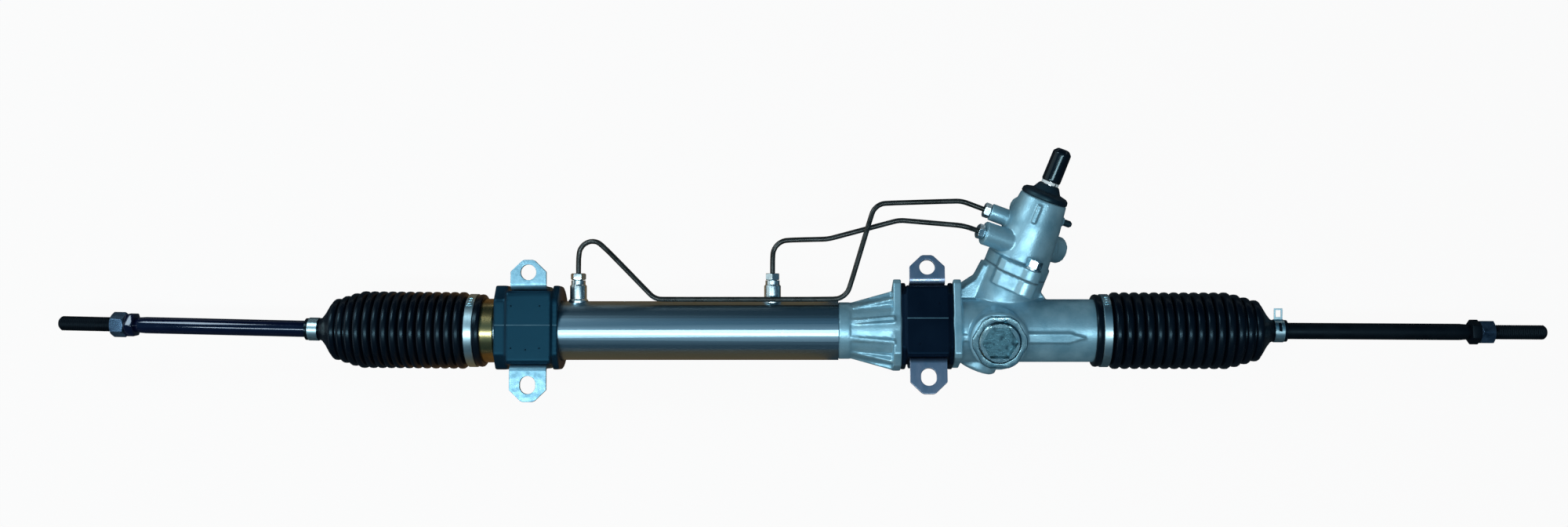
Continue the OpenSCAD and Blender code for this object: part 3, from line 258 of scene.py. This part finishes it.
def finish(
    name, colour, worn, gloss, metal=1.0, bump=0.1, bump_depth=0.0002, scales=(60, 900, 3), stretch=(1, 1, 1),
    coat=0.0, shine=0.5, tint=(1, 1, 1)
):
    """A finish of two colours and two glosses that blotches mix, over a fine grain"""
    made = bpy.data.materials.new(name)
    made.use_nodes = True
    tree = made.node_tree
    shader = tree.nodes["Principled BSDF"]
    shader.inputs["Metallic"].default_value = metal
    shader.inputs["Coat Weight"].default_value = coat
    shader.inputs["Coat Roughness"].default_value = 0.08
    shader.inputs["Specular IOR Level"].default_value = shine
    shader.inputs["Specular Tint"].default_value = (*tint, 1)
    place = tree.nodes.new("ShaderNodeTexCoord")
    mapping = tree.nodes.new("ShaderNodeMapping")
    mapping.inputs["Scale"].default_value = stretch
    joined(tree, place.outputs["Object"], mapping.inputs["Vector"])
    marks = tree.nodes.new("ShaderNodeGroup")
    marks.node_tree = handling
    marks.inputs["Blotch Scale"].default_value, marks.inputs["Grain Scale"].default_value = scales[:2]
    marks.inputs["Grain Detail"].default_value = scales[2]
    joined(tree, mapping.outputs["Vector"], marks.inputs["Place"])
    tone = tree.nodes.new("ShaderNodeMix")
    tone.data_type = "RGBA"
    tone.inputs["A"].default_value = (*colour, 1)
    tone.inputs["B"].default_value = (*worn, 1)
    joined(tree, marks.outputs["Blotch"], tone.inputs["Factor"])
    joined(tree, tone.outputs["Result"], shader.inputs["Base Color"])
    rough = tree.nodes.new("ShaderNodeMapRange")
    rough.inputs["To Min"].default_value, rough.inputs["To Max"].default_value = gloss
    joined(tree, marks.outputs["Blotch"], rough.inputs["Value"])
    joined(tree, rough.outputs["Result"], shader.inputs["Roughness"])
    relief = tree.nodes.new("ShaderNodeBump")
    relief.inputs["Strength"].default_value = bump
    relief.inputs["Distance"].default_value = bump_depth
    joined(tree, marks.outputs["Grain"], relief.inputs["Height"])
    joined(tree, relief.outputs["Normal"], shader.inputs["Normal"])
    return made


def dress(made, *nodes):
    for name in nodes:
        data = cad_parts[name].data
        data.materials.clear()
        data.materials.append(made)


sewing_reach = 0.000002


def merged_copy(name, node):
    """A copy of a node's mesh with its loose triangles sewn together"""
    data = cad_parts[node].data.copy()
    data.name = name
    sewn = bmesh.new()
    sewn.from_mesh(data)
    bmesh.ops.remove_doubles(sewn, verts=sewn.verts, dist=sewing_reach)
    sewn.to_mesh(data)
    sewn.free()
    piece = bpy.data.objects.new(name, data)
    scene.collection.objects.link(piece)
    return piece


def settled(piece):
    """The piece with its modifiers made part of its mesh"""
    graph = bpy.context.evaluated_depsgraph_get()
    data = bpy.data.meshes.new_from_object(piece.evaluated_get(graph))
    piece.modifiers.clear()
    piece.data = data
    return piece


def shaded_smooth(piece, degrees=35):
    data = piece.data
    data.polygons.foreach_set("use_smooth", [True] * len(data.polygons))
    data.set_sharp_from_angle(angle=math.radians(degrees))
    return piece


def covered(piece, made, slot_name, body, *nodes):
    """Gives the piece its finish and body, and lets it stand for its nodes"""
    piece.data.materials.clear()
    piece.data.materials.append(made)
    if body:
        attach(piece, body)
    if nodes:
        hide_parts(*nodes)
    return piece


def eased(name, node, width, made, slot_name, body="housing"):
    """A copy of a node with its sharp edges broken, and its flat faces shaded flat"""
    piece = merged_copy(name, node)
    edge = piece.modifiers.new("edge", "BEVEL")
    edge.width = width
    edge.segments = 2
    edge.limit_method = "ANGLE"
    edge.angle_limit = math.radians(40)
    shaded_smooth(settled(piece))
    flats = piece.modifiers.new("flats", "WEIGHTED_NORMAL")
    flats.keep_sharp = True
    settled(piece)
    return covered(piece, made, slot_name, body, node)


tube_steel = finish(
    "tube_steel", (0.37, 0.55, 0.64), (0.28, 0.43, 0.52), (0.24, 0.33), bump=0.12, scales=(14, 260, 4),
    stretch=(0.12, 1, 1)
)
tube = shaded_smooth(merged_copy("tube", "cylinder_tube"))
covered(tube, tube_steel, "tube_steel", "housing", "cylinder_tube")


# End sleeve
# The sleeve is pressed over the tube end and carries the boot. It is passivated to a dull olive gold.
gold_steel = finish("gold_steel", (0.52, 0.44, 0.20), (0.24, 0.19, 0.08), (0.2, 0.32), scales=(40, 500, 3))
eased("sleeve", "end_sleeve", 0.0006, gold_steel, "gold_steel")


# Unions, pipe nuts and flange bolts
# These are turned from steel bar and zinc plated bright, with a bluish passivation.
zinc = finish("zinc", (0.62, 0.80, 0.86), (0.34, 0.50, 0.58), (0.14, 0.3), scales=(180, 1500, 3))
# The unions and cylinder pipe nuts take a lighter copy of the zinc: painted highlight.
zinc_painted_highlight = finish(
    "zinc_painted_highlight", (0.82, 0.96, 0.98), (0.55, 0.74, 0.80), (0.2, 0.36), scales=(180, 1500, 3)
)
eased("weld_on_unions", "unions", 0.0004, zinc_painted_highlight, "zinc_fitting")
eased("cylinder_pipe_nuts", "union_nuts", 0.0003, zinc_painted_highlight, "zinc_fitting")
eased("valve_pipe_nuts", "port_nuts", 0.0003, zinc, "zinc_fitting")
eased("hexagon_bolts", "flange_bolts", 0.0003, zinc, "zinc_fitting")
dress(zinc, "left_tab_washer", "right_tab_washer")


# Feed pipes
# The pipes are bent steel tube with a black coat that shines where it was handled.
pipe_coat = finish(
    "pipe_coat", (0.010, 0.014, 0.013), (0.035, 0.045, 0.045), (0.2, 0.4), metal=0.5, scales=(90, 1200, 3),
    coat=0.2
)
for side in ("left", "right"):
    pipe = merged_copy(side + "_pipe", side + "_feed_pipe")
    rounder = pipe.modifiers.new("rounder", "SUBSURF")
    rounder.levels = rounder.render_levels = 1
    shaded_smooth(settled(pipe), 60)
    covered(pipe, pipe_coat, "pipe_black", "housing", side + "_feed_pipe")


# Gear housing and valve housing
# Both are aluminium castings. Their skin is as cast, a little grainy, with rounded inner and outer edges.
cast_skin = finish(
    "cast_skin", (0.33, 0.59, 0.71), (0.17, 0.36, 0.46), (0.3, 0.5), metal=0.6, bump=0.4, bump_depth=0.0003,
    scales=(60, 850, 6)
)


def casting(name, node, voxel, keep, rubs, made, slot_name, body="housing"):
    """A copy of a node as one skin, with all its edges rubbed round"""
    cast = merged_copy(name, node)
    skin = cast.modifiers.new("skin", "REMESH")
    skin.mode = "VOXEL"
    skin.voxel_size = voxel
    rub = cast.modifiers.new("rub", "SMOOTH")
    rub.factor = 0.5
    rub.iterations = rubs
    thin = cast.modifiers.new("thin", "DECIMATE")
    thin.ratio = keep
    shaded_smooth(settled(cast), 60)
    covered(cast, made, slot_name, body, node)


casting("gear_casting", "gear_housing", 0.0009, 0.6, 3, cast_skin, "cast_aluminium")
casting("valve_casting", "valve_housing", 0.0008, 0.8, 3, cast_skin, "cast_aluminium")


# Gasket
# The gasket between the castings is pressed fibre, soaked grey.
fibre = finish("fibre", (0.10, 0.19, 0.24), (0.07, 0.14, 0.18), (0.6, 0.8), metal=0)
dress(fibre, "gasket")


# Guide plug and its lock nut
# Both are turned, so their faces show rings round the guide's axis, which leans 26 degrees to the near side.
guide_place = Matrix.Translation((0.056, 0, -rack_drop)) @ Matrix.Rotation(math.radians(26), 4, "X")
socket_radius = 0.0142
socket_rim = 0.0425
rings_to_scale = 0.314


def turned_rings(made, place_of_axis, spacing, strength, depth):
    """Adds fine rings round an axis to a finish, over the grain that it already has"""
    tree = made.node_tree
    back = place_of_axis.inverted()
    place = tree.nodes.new("ShaderNodeTexCoord")
    mapping = tree.nodes.new("ShaderNodeMapping")
    mapping.inputs["Location"].default_value = back.translation
    mapping.inputs["Rotation"].default_value = back.to_euler()
    rings = tree.nodes.new("ShaderNodeTexWave")
    rings.wave_type = "RINGS"
    rings.rings_direction = "Z"
    rings.inputs["Scale"].default_value = rings_to_scale / spacing
    relief = tree.nodes.new("ShaderNodeBump")
    relief.inputs["Strength"].default_value = strength
    relief.inputs["Distance"].default_value = depth
    joined(tree, place.outputs["Object"], mapping.inputs["Vector"])
    joined(tree, mapping.outputs["Vector"], rings.inputs["Vector"])
    joined(tree, rings.outputs["Fac"], relief.inputs["Height"])
    shader = tree.nodes["Principled BSDF"]
    grain_relief = shader.inputs["Normal"].links[0].from_node
    joined(tree, relief.outputs["Normal"], grain_relief.inputs["Normal"])


turned_metal = finish(
    "turned_metal", (0.34, 0.56, 0.63), (0.06, 0.14, 0.18), (0.16, 0.34), scales=(110, 900, 3)
)
turned_rings(turned_metal, guide_place, 0.0009, 0.2, 0.00006)
plug = eased("hexagon_plug", "guide_plug", 0.0005, turned_metal, "machined_aluminium")
# Faces inside the plug's hexagon socket take this darker copy of the metal: painted shade in the recess.
socket_painted_shade = finish(
    "socket_painted_shade", (0.10, 0.25, 0.31), (0.01, 0.04, 0.06), (0.2, 0.5), metal=0.8, bump=0.5,
    scales=(260, 900, 4)
)
plug.data.materials.append(socket_painted_shade)
into_guide = guide_place.inverted()
for face in plug.data.polygons:
    inside = into_guide @ face.center
    if inside.xy.length < socket_radius and inside.z < socket_rim:
        face.material_index = 1
eased("plug_nut", "plug_lock_nut", 0.0007, turned_metal, "machined_steel")


# Rubber bushes
# The bushes are moulded rubber, nearly black, with round rims. Each is split on its mounting side, to open
# over the tube, and the lips of the split are a thin glossy bead, coloured lighter as a painted highlight
# line. Small pips mark the mould.
bush_rubber = finish(
    "bush_rubber", (0.001, 0.008, 0.018), (0.002, 0.014, 0.028), (0.38, 0.5), metal=0, bump=0.25,
    scales=(35, 1300, 4), tint=(0.15, 0.65, 1)
)
# The pinion bush takes a darker, less shiny copy of the bush rubber: painted shade.
pinion_rubber_painted_shade = finish(
    "pinion_rubber_painted_shade", (0.001, 0.003, 0.008), (0.002, 0.005, 0.012), (0.4, 0.52), metal=0, bump=0.25,
    scales=(35, 1300, 4), shine=0.2, tint=(0.15, 0.5, 1)
)
# The lip bead is much lighter than the bush rubber: a painted highlight over its real gloss.
lip_painted_highlight = finish("lip_painted_highlight", (0.05, 0.12, 0.17), (0.08, 0.18, 0.24), (0.14, 0.24), metal=0)
mount_place = Matrix.Translation((-0.3198, 0, -rack_drop)) @ Matrix.Rotation(math.radians(12), 4, "X")
axis_place = Matrix.Translation((0, 0, -rack_drop))
onto_x = Matrix.Rotation(math.pi / 2, 4, "Y")
bush_front = 0.0279
bush_rim = 0.0259
split_height = 0.004
lip_radius = 0.0004
pip_radius = 0.0008


def piece_from(name, shape, degrees=35):
    """The object of a finished bmesh, sewn up, with its faces outwards"""
    bmesh.ops.remove_doubles(shape, verts=shape.verts, dist=sewing_reach)
    bmesh.ops.recalc_face_normals(shape, faces=shape.faces)
    data = bpy.data.meshes.new(name)
    shape.to_mesh(data)
    shape.free()
    piece = bpy.data.objects.new(name, data)
    scene.collection.objects.link(piece)
    return shaded_smooth(piece, degrees)


def bush_marks(name, place, made, body, half_block, ends, pips):
    """The lips of a bush's split along its faces, and its mould pips"""
    lips = bmesh.new()
    for start, end, height in ((-half_block, half_block, bush_front), *ends):
        middle = Matrix.Translation(((start + end) / 2, split_height, height))
        bmesh.ops.create_cone(
            lips, cap_ends=True, segments=10, radius1=lip_radius, radius2=lip_radius, depth=end - start,
            matrix=place @ middle @ onto_x
        )
    covered(piece_from(name + "_lips", lips), lip_painted_highlight, "bush_rubber", body)
    dots = bmesh.new()
    for x, y in pips:
        bmesh.ops.create_uvsphere(
            dots, u_segments=16, v_segments=8, radius=pip_radius,
            matrix=place @ Matrix.Translation((x, y, bush_front))
        )
    covered(piece_from(name + "_pips", dots), made, "bush_rubber", body)


casting(
    "cylinder_bush", "cylinder_clamp_bush", 0.0008, 0.7, 16, bush_rubber, "bush_rubber", "cylinder_mount"
)
bush_marks(
    "cylinder_bush", mount_place, bush_rubber, "cylinder_mount", 0.0175,
    [(-0.0275, -0.0185, bush_rim), (0.0185, 0.0226, bush_rim)],
    [(-0.0139, 0.0194), (0.009, 0.0194), (-0.0139, -0.0144), (-0.002, -0.0156), (0.009, -0.0144)]
)
casting("pinion_bush", "pinion_clamp_bush", 0.0008, 0.7, 12, pinion_rubber_painted_shade, "bush_rubber")
bush_marks(
    "pinion_bush", axis_place, pinion_rubber_painted_shade, "housing", 0.0165, [],
    [(-0.007, 0.016), (0.009, 0.016), (-0.007, -0.017)]
)


# Mounting clamps
# The straps are bent from zinc plated sheet. The plating is pale blue on one and violet grey on the other.
pale_zinc = finish(
    "pale_zinc", (0.28, 0.52, 0.64), (0.18, 0.38, 0.49), (0.36, 0.5), bump=0.35, scales=(230, 1400, 5)
)
dark_zinc = finish(
    "dark_zinc", (0.40, 0.52, 0.68), (0.25, 0.32, 0.45), (0.28, 0.42), bump=0.3, scales=(150, 1200, 5),
    stretch=(1, 0.3, 1)
)
eased("cylinder_strap", "cylinder_clamp", 0.0005, pale_zinc, "zinc_strap", "cylinder_mount")
eased("pinion_strap", "pinion_clamp", 0.0005, dark_zinc, "zinc_strap")


# Dust cover, stopper and spline cap
# The cover and stopper are matt rubber. The cap is a glossy plastic tube pushed over the splines.
matt_rubber = finish(
    "matt_rubber", (0.003, 0.008, 0.015), (0.006, 0.014, 0.024), (0.34, 0.5), metal=0, tint=(0.4, 0.85, 1)
)
eased("shaft_cover", "dust_cover", 0.0006, matt_rubber, "cover_rubber")
dress(matt_rubber, "bleed_stopper", "shaft_seal", "outer_rod_seal", "inner_rod_seal", "guide_ring")
gloss_plastic = finish(
    "gloss_plastic", (0.002, 0.004, 0.008), (0.003, 0.006, 0.011), (0.1, 0.18), metal=0, bump=0.03, shine=0.4,
    tint=(0.6, 0.9, 1)
)
eased("cap_tube", "spline_cap", 0.0008, gloss_plastic, "cap_plastic", "cap")


# Boots
# The boot is made as three stretches cut across its length: the folds, a middle stretch and the neck.
# The left rod's ball lies deeper in its boot, so there the middle stretch holds the last two folds and the
# neck the whole cone.
# Sizes are in millimetres, along the boot from its cuff and out from its axis.
boot_rubber = finish(
    "boot_rubber", (0.001, 0.002, 0.005), (0.002, 0.004, 0.008), (0.24, 0.32), metal=0, bump=0.1,
    scales=(30, 900, 3), shine=0.28, tint=(0.45, 0.8, 1)
)
mm = 0.001
round_steps = 96
cuff = [(0.5, 28.7), (1.2, 29.3), (2.6, 29.6), (4.2, 29.3), (5.7, 28.8), (13.4, 28.8)]
cuff_depth = 15
fold_offsets = [(-0.40, -2.2), (-0.33, -0.8), (-0.2, -0.15), (0, 0), (0.2, -0.15), (0.33, -0.8), (0.40, -2.2)]
fold_radii = [31.3] * 12 + [29.6, 27.3, 25.0]
first_fold = 18.6
valley_depth = 4.6
cone_length = 20
cone_bend, neck_start, clip_start = 15.5, 7.1, 5
clip_groove = 4.5
neck_end = 6.5
neck_depth = 14
neck_inside = 7.1
boot_wall = 1.8
point_slack = 0.01


def spun(shape, outline, steps, place=Matrix.Identity(4)):
    """Spins a closed outline of places along the axis and radii round the axis, then sets it in its place"""
    rim = [shape.verts.new((x * mm, 0, r * mm)) for x, r in outline]
    lines = [shape.edges.new(pair) for pair in zip(rim, rim[1:] + rim[:1])]
    before = set(shape.verts) - set(rim)
    bmesh.ops.spin(
        shape, geom=rim + lines, cent=(0, 0, 0), axis=(1, 0, 0), angle=2 * math.pi, steps=steps,
        use_merge=True
    )
    bmesh.ops.transform(shape, verts=list(set(shape.verts) - before), matrix=place)


def boot_outline(clip_at, pitch):
    """The outside of a boot, from its cuff to its neck"""
    points = list(cuff)
    for count, radius in enumerate(fold_radii):
        middle = first_fold + count * pitch
        points.append((middle - 0.5 * pitch, fold_radii[max(count - 1, 0)] - valley_depth))
        points += [(middle + share * pitch, radius + drop) for share, drop in fold_offsets]
    points += [(clip_at - cone_bend, 21.6), (clip_at - 11, 14.6), (clip_at - neck_start, 9.7)]
    points += [(clip_at - clip_start, 8.9), (clip_at - clip_groove, 8.3), (clip_at + clip_groove, 8.3)]
    points += [(clip_at + clip_start, 8.9), (clip_at + neck_end, 8.9)]
    return points


def boot_piece(name, points, start, end, seat, place):
    """One stretch of a boot as a closed wall"""
    outside = [point for point in points if start - point_slack <= point[0] <= end + point_slack]
    neck_at = points[-1][0] - neck_depth
    inside = [
        (x, seat if x < cuff_depth else neck_inside if x > neck_at else max(neck_inside, r - boot_wall))
        for x, r in outside
    ]
    shape = bmesh.new()
    spun(shape, outside + inside[::-1], round_steps, place)
    piece = covered(piece_from(name, shape, 50), boot_rubber, "boot_rubber", None)
    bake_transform(piece)
    return piece


def boot(side, cuff_at, heading, clip_at, seat, bending_folds):
    place = Matrix.Translation((cuff_at * mm, 0, -rack_drop)) @ Matrix.Rotation(math.radians(heading), 4, "Z")
    pitch = (clip_at - cone_length - first_fold) / (len(fold_radii) - 1)
    points = boot_outline(clip_at, pitch)
    last_valley = first_fold + (len(fold_radii) - 1.5) * pitch
    lift_from = last_valley - bending_folds * pitch
    if bending_folds:
        sweep_from, sweep_to = last_valley, clip_at - neck_start
    else:
        sweep_from, sweep_to = clip_at - cone_bend, clip_at - clip_start
    folds = boot_piece(
        side + "_boot_folds", points, 0, lift_from, seat, place,
    )
    boot_piece(
        side + "_boot_cone", points, lift_from, sweep_from, seat, place
    )
    boot_piece(
        side + "_boot_neck", points, sweep_from, clip_at + neck_end, seat, place,
    )
    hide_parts(side + "_boot")
    return place


left_boot_place = boot("left", -358.8, 179.516, 140.2, 26.25, 2)
right_boot_place = boot("right", 135, -0.093, 152.2, 25.85, 0)


# Band clamps and spring clips
# They are bent from stainless strip. Each band is crimped over itself with three punched lugs, and each clip
# stands up in a loop to be squeezed open.
stainless = finish("stainless", (0.58, 0.82, 0.88), (0.40, 0.60, 0.67), (0.26, 0.42), scales=(60, 800, 3))
band_ring = [(6.2, 28.86), (6.2, 29.55), (6.45, 29.8), (12.55, 29.8), (12.8, 29.55), (12.8, 28.86)]
band_middle = 0.0095
crimp_size = (0.0046, 0.011, 0.0007)
crimp_radius = 0.0299
crimp_edge = 0.0002
lug_size = (0.0028, 0.0013, 0.0012, 1)
lug_spots = (-0.003, 0.0005, 0.0038)
lug_radius = 0.0301
lug_shift = 0.0002


def band(side, place, roll):
    """A band round a boot's cuff, with its crimp rolled that many degrees from straight up"""
    strip = bmesh.new()
    spun(strip, band_ring, round_steps, place)
    along = place.to_3x3().col[0].x
    over = (
        Matrix.Translation((place.translation.x + along * band_middle, 0, 0))
        @ (Matrix.Translation((0, 0, -rack_drop)) @ Matrix.Rotation(math.radians(roll), 4, "X"))
    )
    patch = bmesh.new()
    bmesh.ops.create_cube(patch, size=1)
    bmesh.ops.scale(patch, verts=patch.verts, vec=crimp_size)
    lengthwise = [edge for edge in patch.edges if abs(edge.verts[0].co.y - edge.verts[1].co.y) > 0.001]
    bmesh.ops.subdivide_edges(patch, edges=lengthwise, cuts=6)
    for corner in patch.verts:
        corner.co.z += math.sqrt(crimp_radius ** 2 - corner.co.y ** 2)
    for y in lug_spots:
        spot = Matrix.Translation((lug_shift * (1 if y > 0 else -1), y, lug_radius))
        bmesh.ops.create_cube(patch, size=1, matrix=spot @ Matrix.Diagonal(lug_size))
    bmesh.ops.transform(patch, verts=patch.verts, matrix=over)
    edges = [edge for edge in patch.edges if edge.is_manifold and edge.calc_face_angle(0) > 0.7]
    bmesh.ops.bevel(
        patch, geom=edges, offset=crimp_edge, offset_type="OFFSET", segments=2, affect="EDGES", profile=0.5,
        material=-1
    )
    covered(piece_from(side + "_band_crimp", patch), stainless, "stainless_band", "housing")
    covered(piece_from(side + "_band", strip), stainless, "stainless_band", "housing", side + "_band_clamp")


band("left", left_boot_place, -40)
band("right", right_boot_place, -43)
for side in ("left", "right"):
    eased(side + "_clip", side + "_spring_clip", 0.0001, stainless, "stainless_band", side + "_rod")


# Tie rods and lock nuts
# The rods are forged, with a gloss black coat, a rolled thread at the outer end and a hexagon beside it.
# The lock nuts are turned and blued, and run on the thread. Sizes are in millimetres, from the ball outwards.
rod_coat = finish(
    "rod_coat", (0.001, 0.002, 0.014), (0.002, 0.004, 0.020), (0.08, 0.14), metal=0.1, coat=0.5,
    tint=(0.6, 0.8, 1)
)
rod_coat_matt = finish(
    "rod_coat_matt", (0.001, 0.002, 0.004), (0.002, 0.004, 0.007), (0.42, 0.6), metal=0, shine=0.2,
    tint=(0.5, 0.8, 1)
)
nut_blue = finish(
    "nut_blue", (0.10, 0.19, 0.30), (0.015, 0.04, 0.08), (0.14, 0.28), metal=0.8, scales=(120, 900, 3)
)
rod_places = {
    "left": Matrix.Translation((-0.4468, 0, -rack_drop)) @ Matrix.Rotation(math.radians(178.64), 4, "Z"),
    "right": Matrix.Translation((0.245, 0, -rack_drop)) @ Matrix.Rotation(math.radians(-0.35), 4, "Z"),
}
on_axis = 0.001
ball_radius = 12.5
shank = [
    (11.4, 5.5), (18, 5.5), (22, 6.7), (190, 6.7), (195, 6.3), (197.6, 5.9), (199, 5.3), (218, 5.3),
    (218, on_axis)
]
thread_start, thread_end, thread_pitch = 217.5, 260.5, 1.5
rows_per_turn = 6
crest_radius, root_radius, point_radius = 6.0, 5.3, 4
collar_middle, collar_depth, collar_flats, collar_edge = 201.7, 7.4, 18, 0.9
collar_roll = Matrix.Rotation(math.radians(12), 4, "Z")


def rolled_thread():
    """A bar with a helical thread, whose crests end in a short point"""
    threads = bmesh.new()
    length = thread_end - thread_start
    rows = round(length / thread_pitch * rows_per_turn)
    outside = [(thread_start + length * row / rows, crest_radius) for row in range(rows + 1)]
    spun(threads, [(thread_start, on_axis), *outside, (thread_end, on_axis)], 40)
    for corner in threads.verts:
        turn = math.atan2(corner.co.y, corner.co.z) / (2 * math.pi)
        along = corner.co.x / mm
        radius = corner.co.yz.length / mm
        if radius > 1:
            rise = abs(2 * ((along / thread_pitch - turn) % 1) - 1)
            cut = min(root_radius + (crest_radius - root_radius) * rise, point_radius + (thread_end - along))
            corner.co.y *= cut / radius
            corner.co.z *= cut / radius
    return threads


def tie_rod(side, made):
    """A tie rod as its ball and shank, its thread, the hexagon beside the thread, and the nut on it"""
    place = rod_places[side]
    rod = bmesh.new()
    ball = [
        (-ball_radius * math.cos(math.radians(a)), ball_radius * math.sin(math.radians(a)))
        for a in range(26, 150, 6)
    ]
    spun(rod, [(-11.2, on_axis), *ball, *shank], 48, place)
    threads = rolled_thread()
    bmesh.ops.transform(threads, verts=threads.verts, matrix=place)
    collar = bmesh.new()
    corner_radius = collar_flats * mm / math.sqrt(3)
    bmesh.ops.create_cone(
        collar, cap_ends=True, segments=6, radius1=corner_radius, radius2=corner_radius,
        depth=collar_depth * mm, matrix=collar_roll
    )
    bmesh.ops.bevel(
        collar, geom=collar.edges, offset=collar_edge * mm, offset_type="OFFSET", segments=3, affect="EDGES",
        profile=0.5, material=-1
    )
    bmesh.ops.transform(
        collar, verts=collar.verts, matrix=place @ Matrix.Translation((collar_middle * mm, 0, 0)) @ onto_x
    )
    body = side + "_rod"
    covered(piece_from(side + "_rod_shank", rod), made, "rod_black", body, side + "_tie_rod")
    covered(piece_from(side + "_rod_thread", threads, 60), rod_coat_matt, "rod_black", body)
    covered(piece_from(side + "_rod_collar", collar), made, "rod_black", body)
    eased(side + "_nut", side + "_lock_nut", 0.0006, nut_blue, "nut_black", body)


tie_rod("left", rod_coat)
tie_rod("right", rod_coat_matt)


# Inner parts
# The rack, pinion, shaft and bearings are ground steel. The seats and sealing rings are plastic.
ground_steel = finish("ground_steel", (0.62, 0.66, 0.68), (0.5, 0.54, 0.56), (0.14, 0.24))
dress(
    ground_steel, "rack_bar", "pinion", "valve_sleeve", "input_shaft", "lower_bush", "pinion_bearing",
    "upper_bush", "bore_plug", "guide_spring", "piston_clips", "torsion_bar", "torsion_pin"
)
bronze = finish("bronze", (0.45, 0.30, 0.14), (0.36, 0.24, 0.12), (0.3, 0.5))
dress(bronze, "end_bush", "guide_liner")
dark_steel = finish("dark_steel", (0.05, 0.05, 0.055), (0.03, 0.03, 0.034), (0.35, 0.5), metal=0.7)
dress(dark_steel, "left_socket", "right_socket")
pale_metal = finish("pale_metal", (0.6, 0.63, 0.64), (0.5, 0.53, 0.54), (0.3, 0.4))
dress(pale_metal, "piston", "rack_guide")
seal_plastic = finish("seal_plastic", (0.06, 0.06, 0.065), (0.08, 0.08, 0.085), (0.3, 0.4), metal=0)
dress(seal_plastic, "piston_ring", "sleeve_rings")
nylon = finish("nylon", (0.7, 0.78, 0.8), (0.62, 0.68, 0.7), (0.35, 0.5), metal=0)
dress(nylon, "left_ball_seat", "right_ball_seat", "shaft_ring")
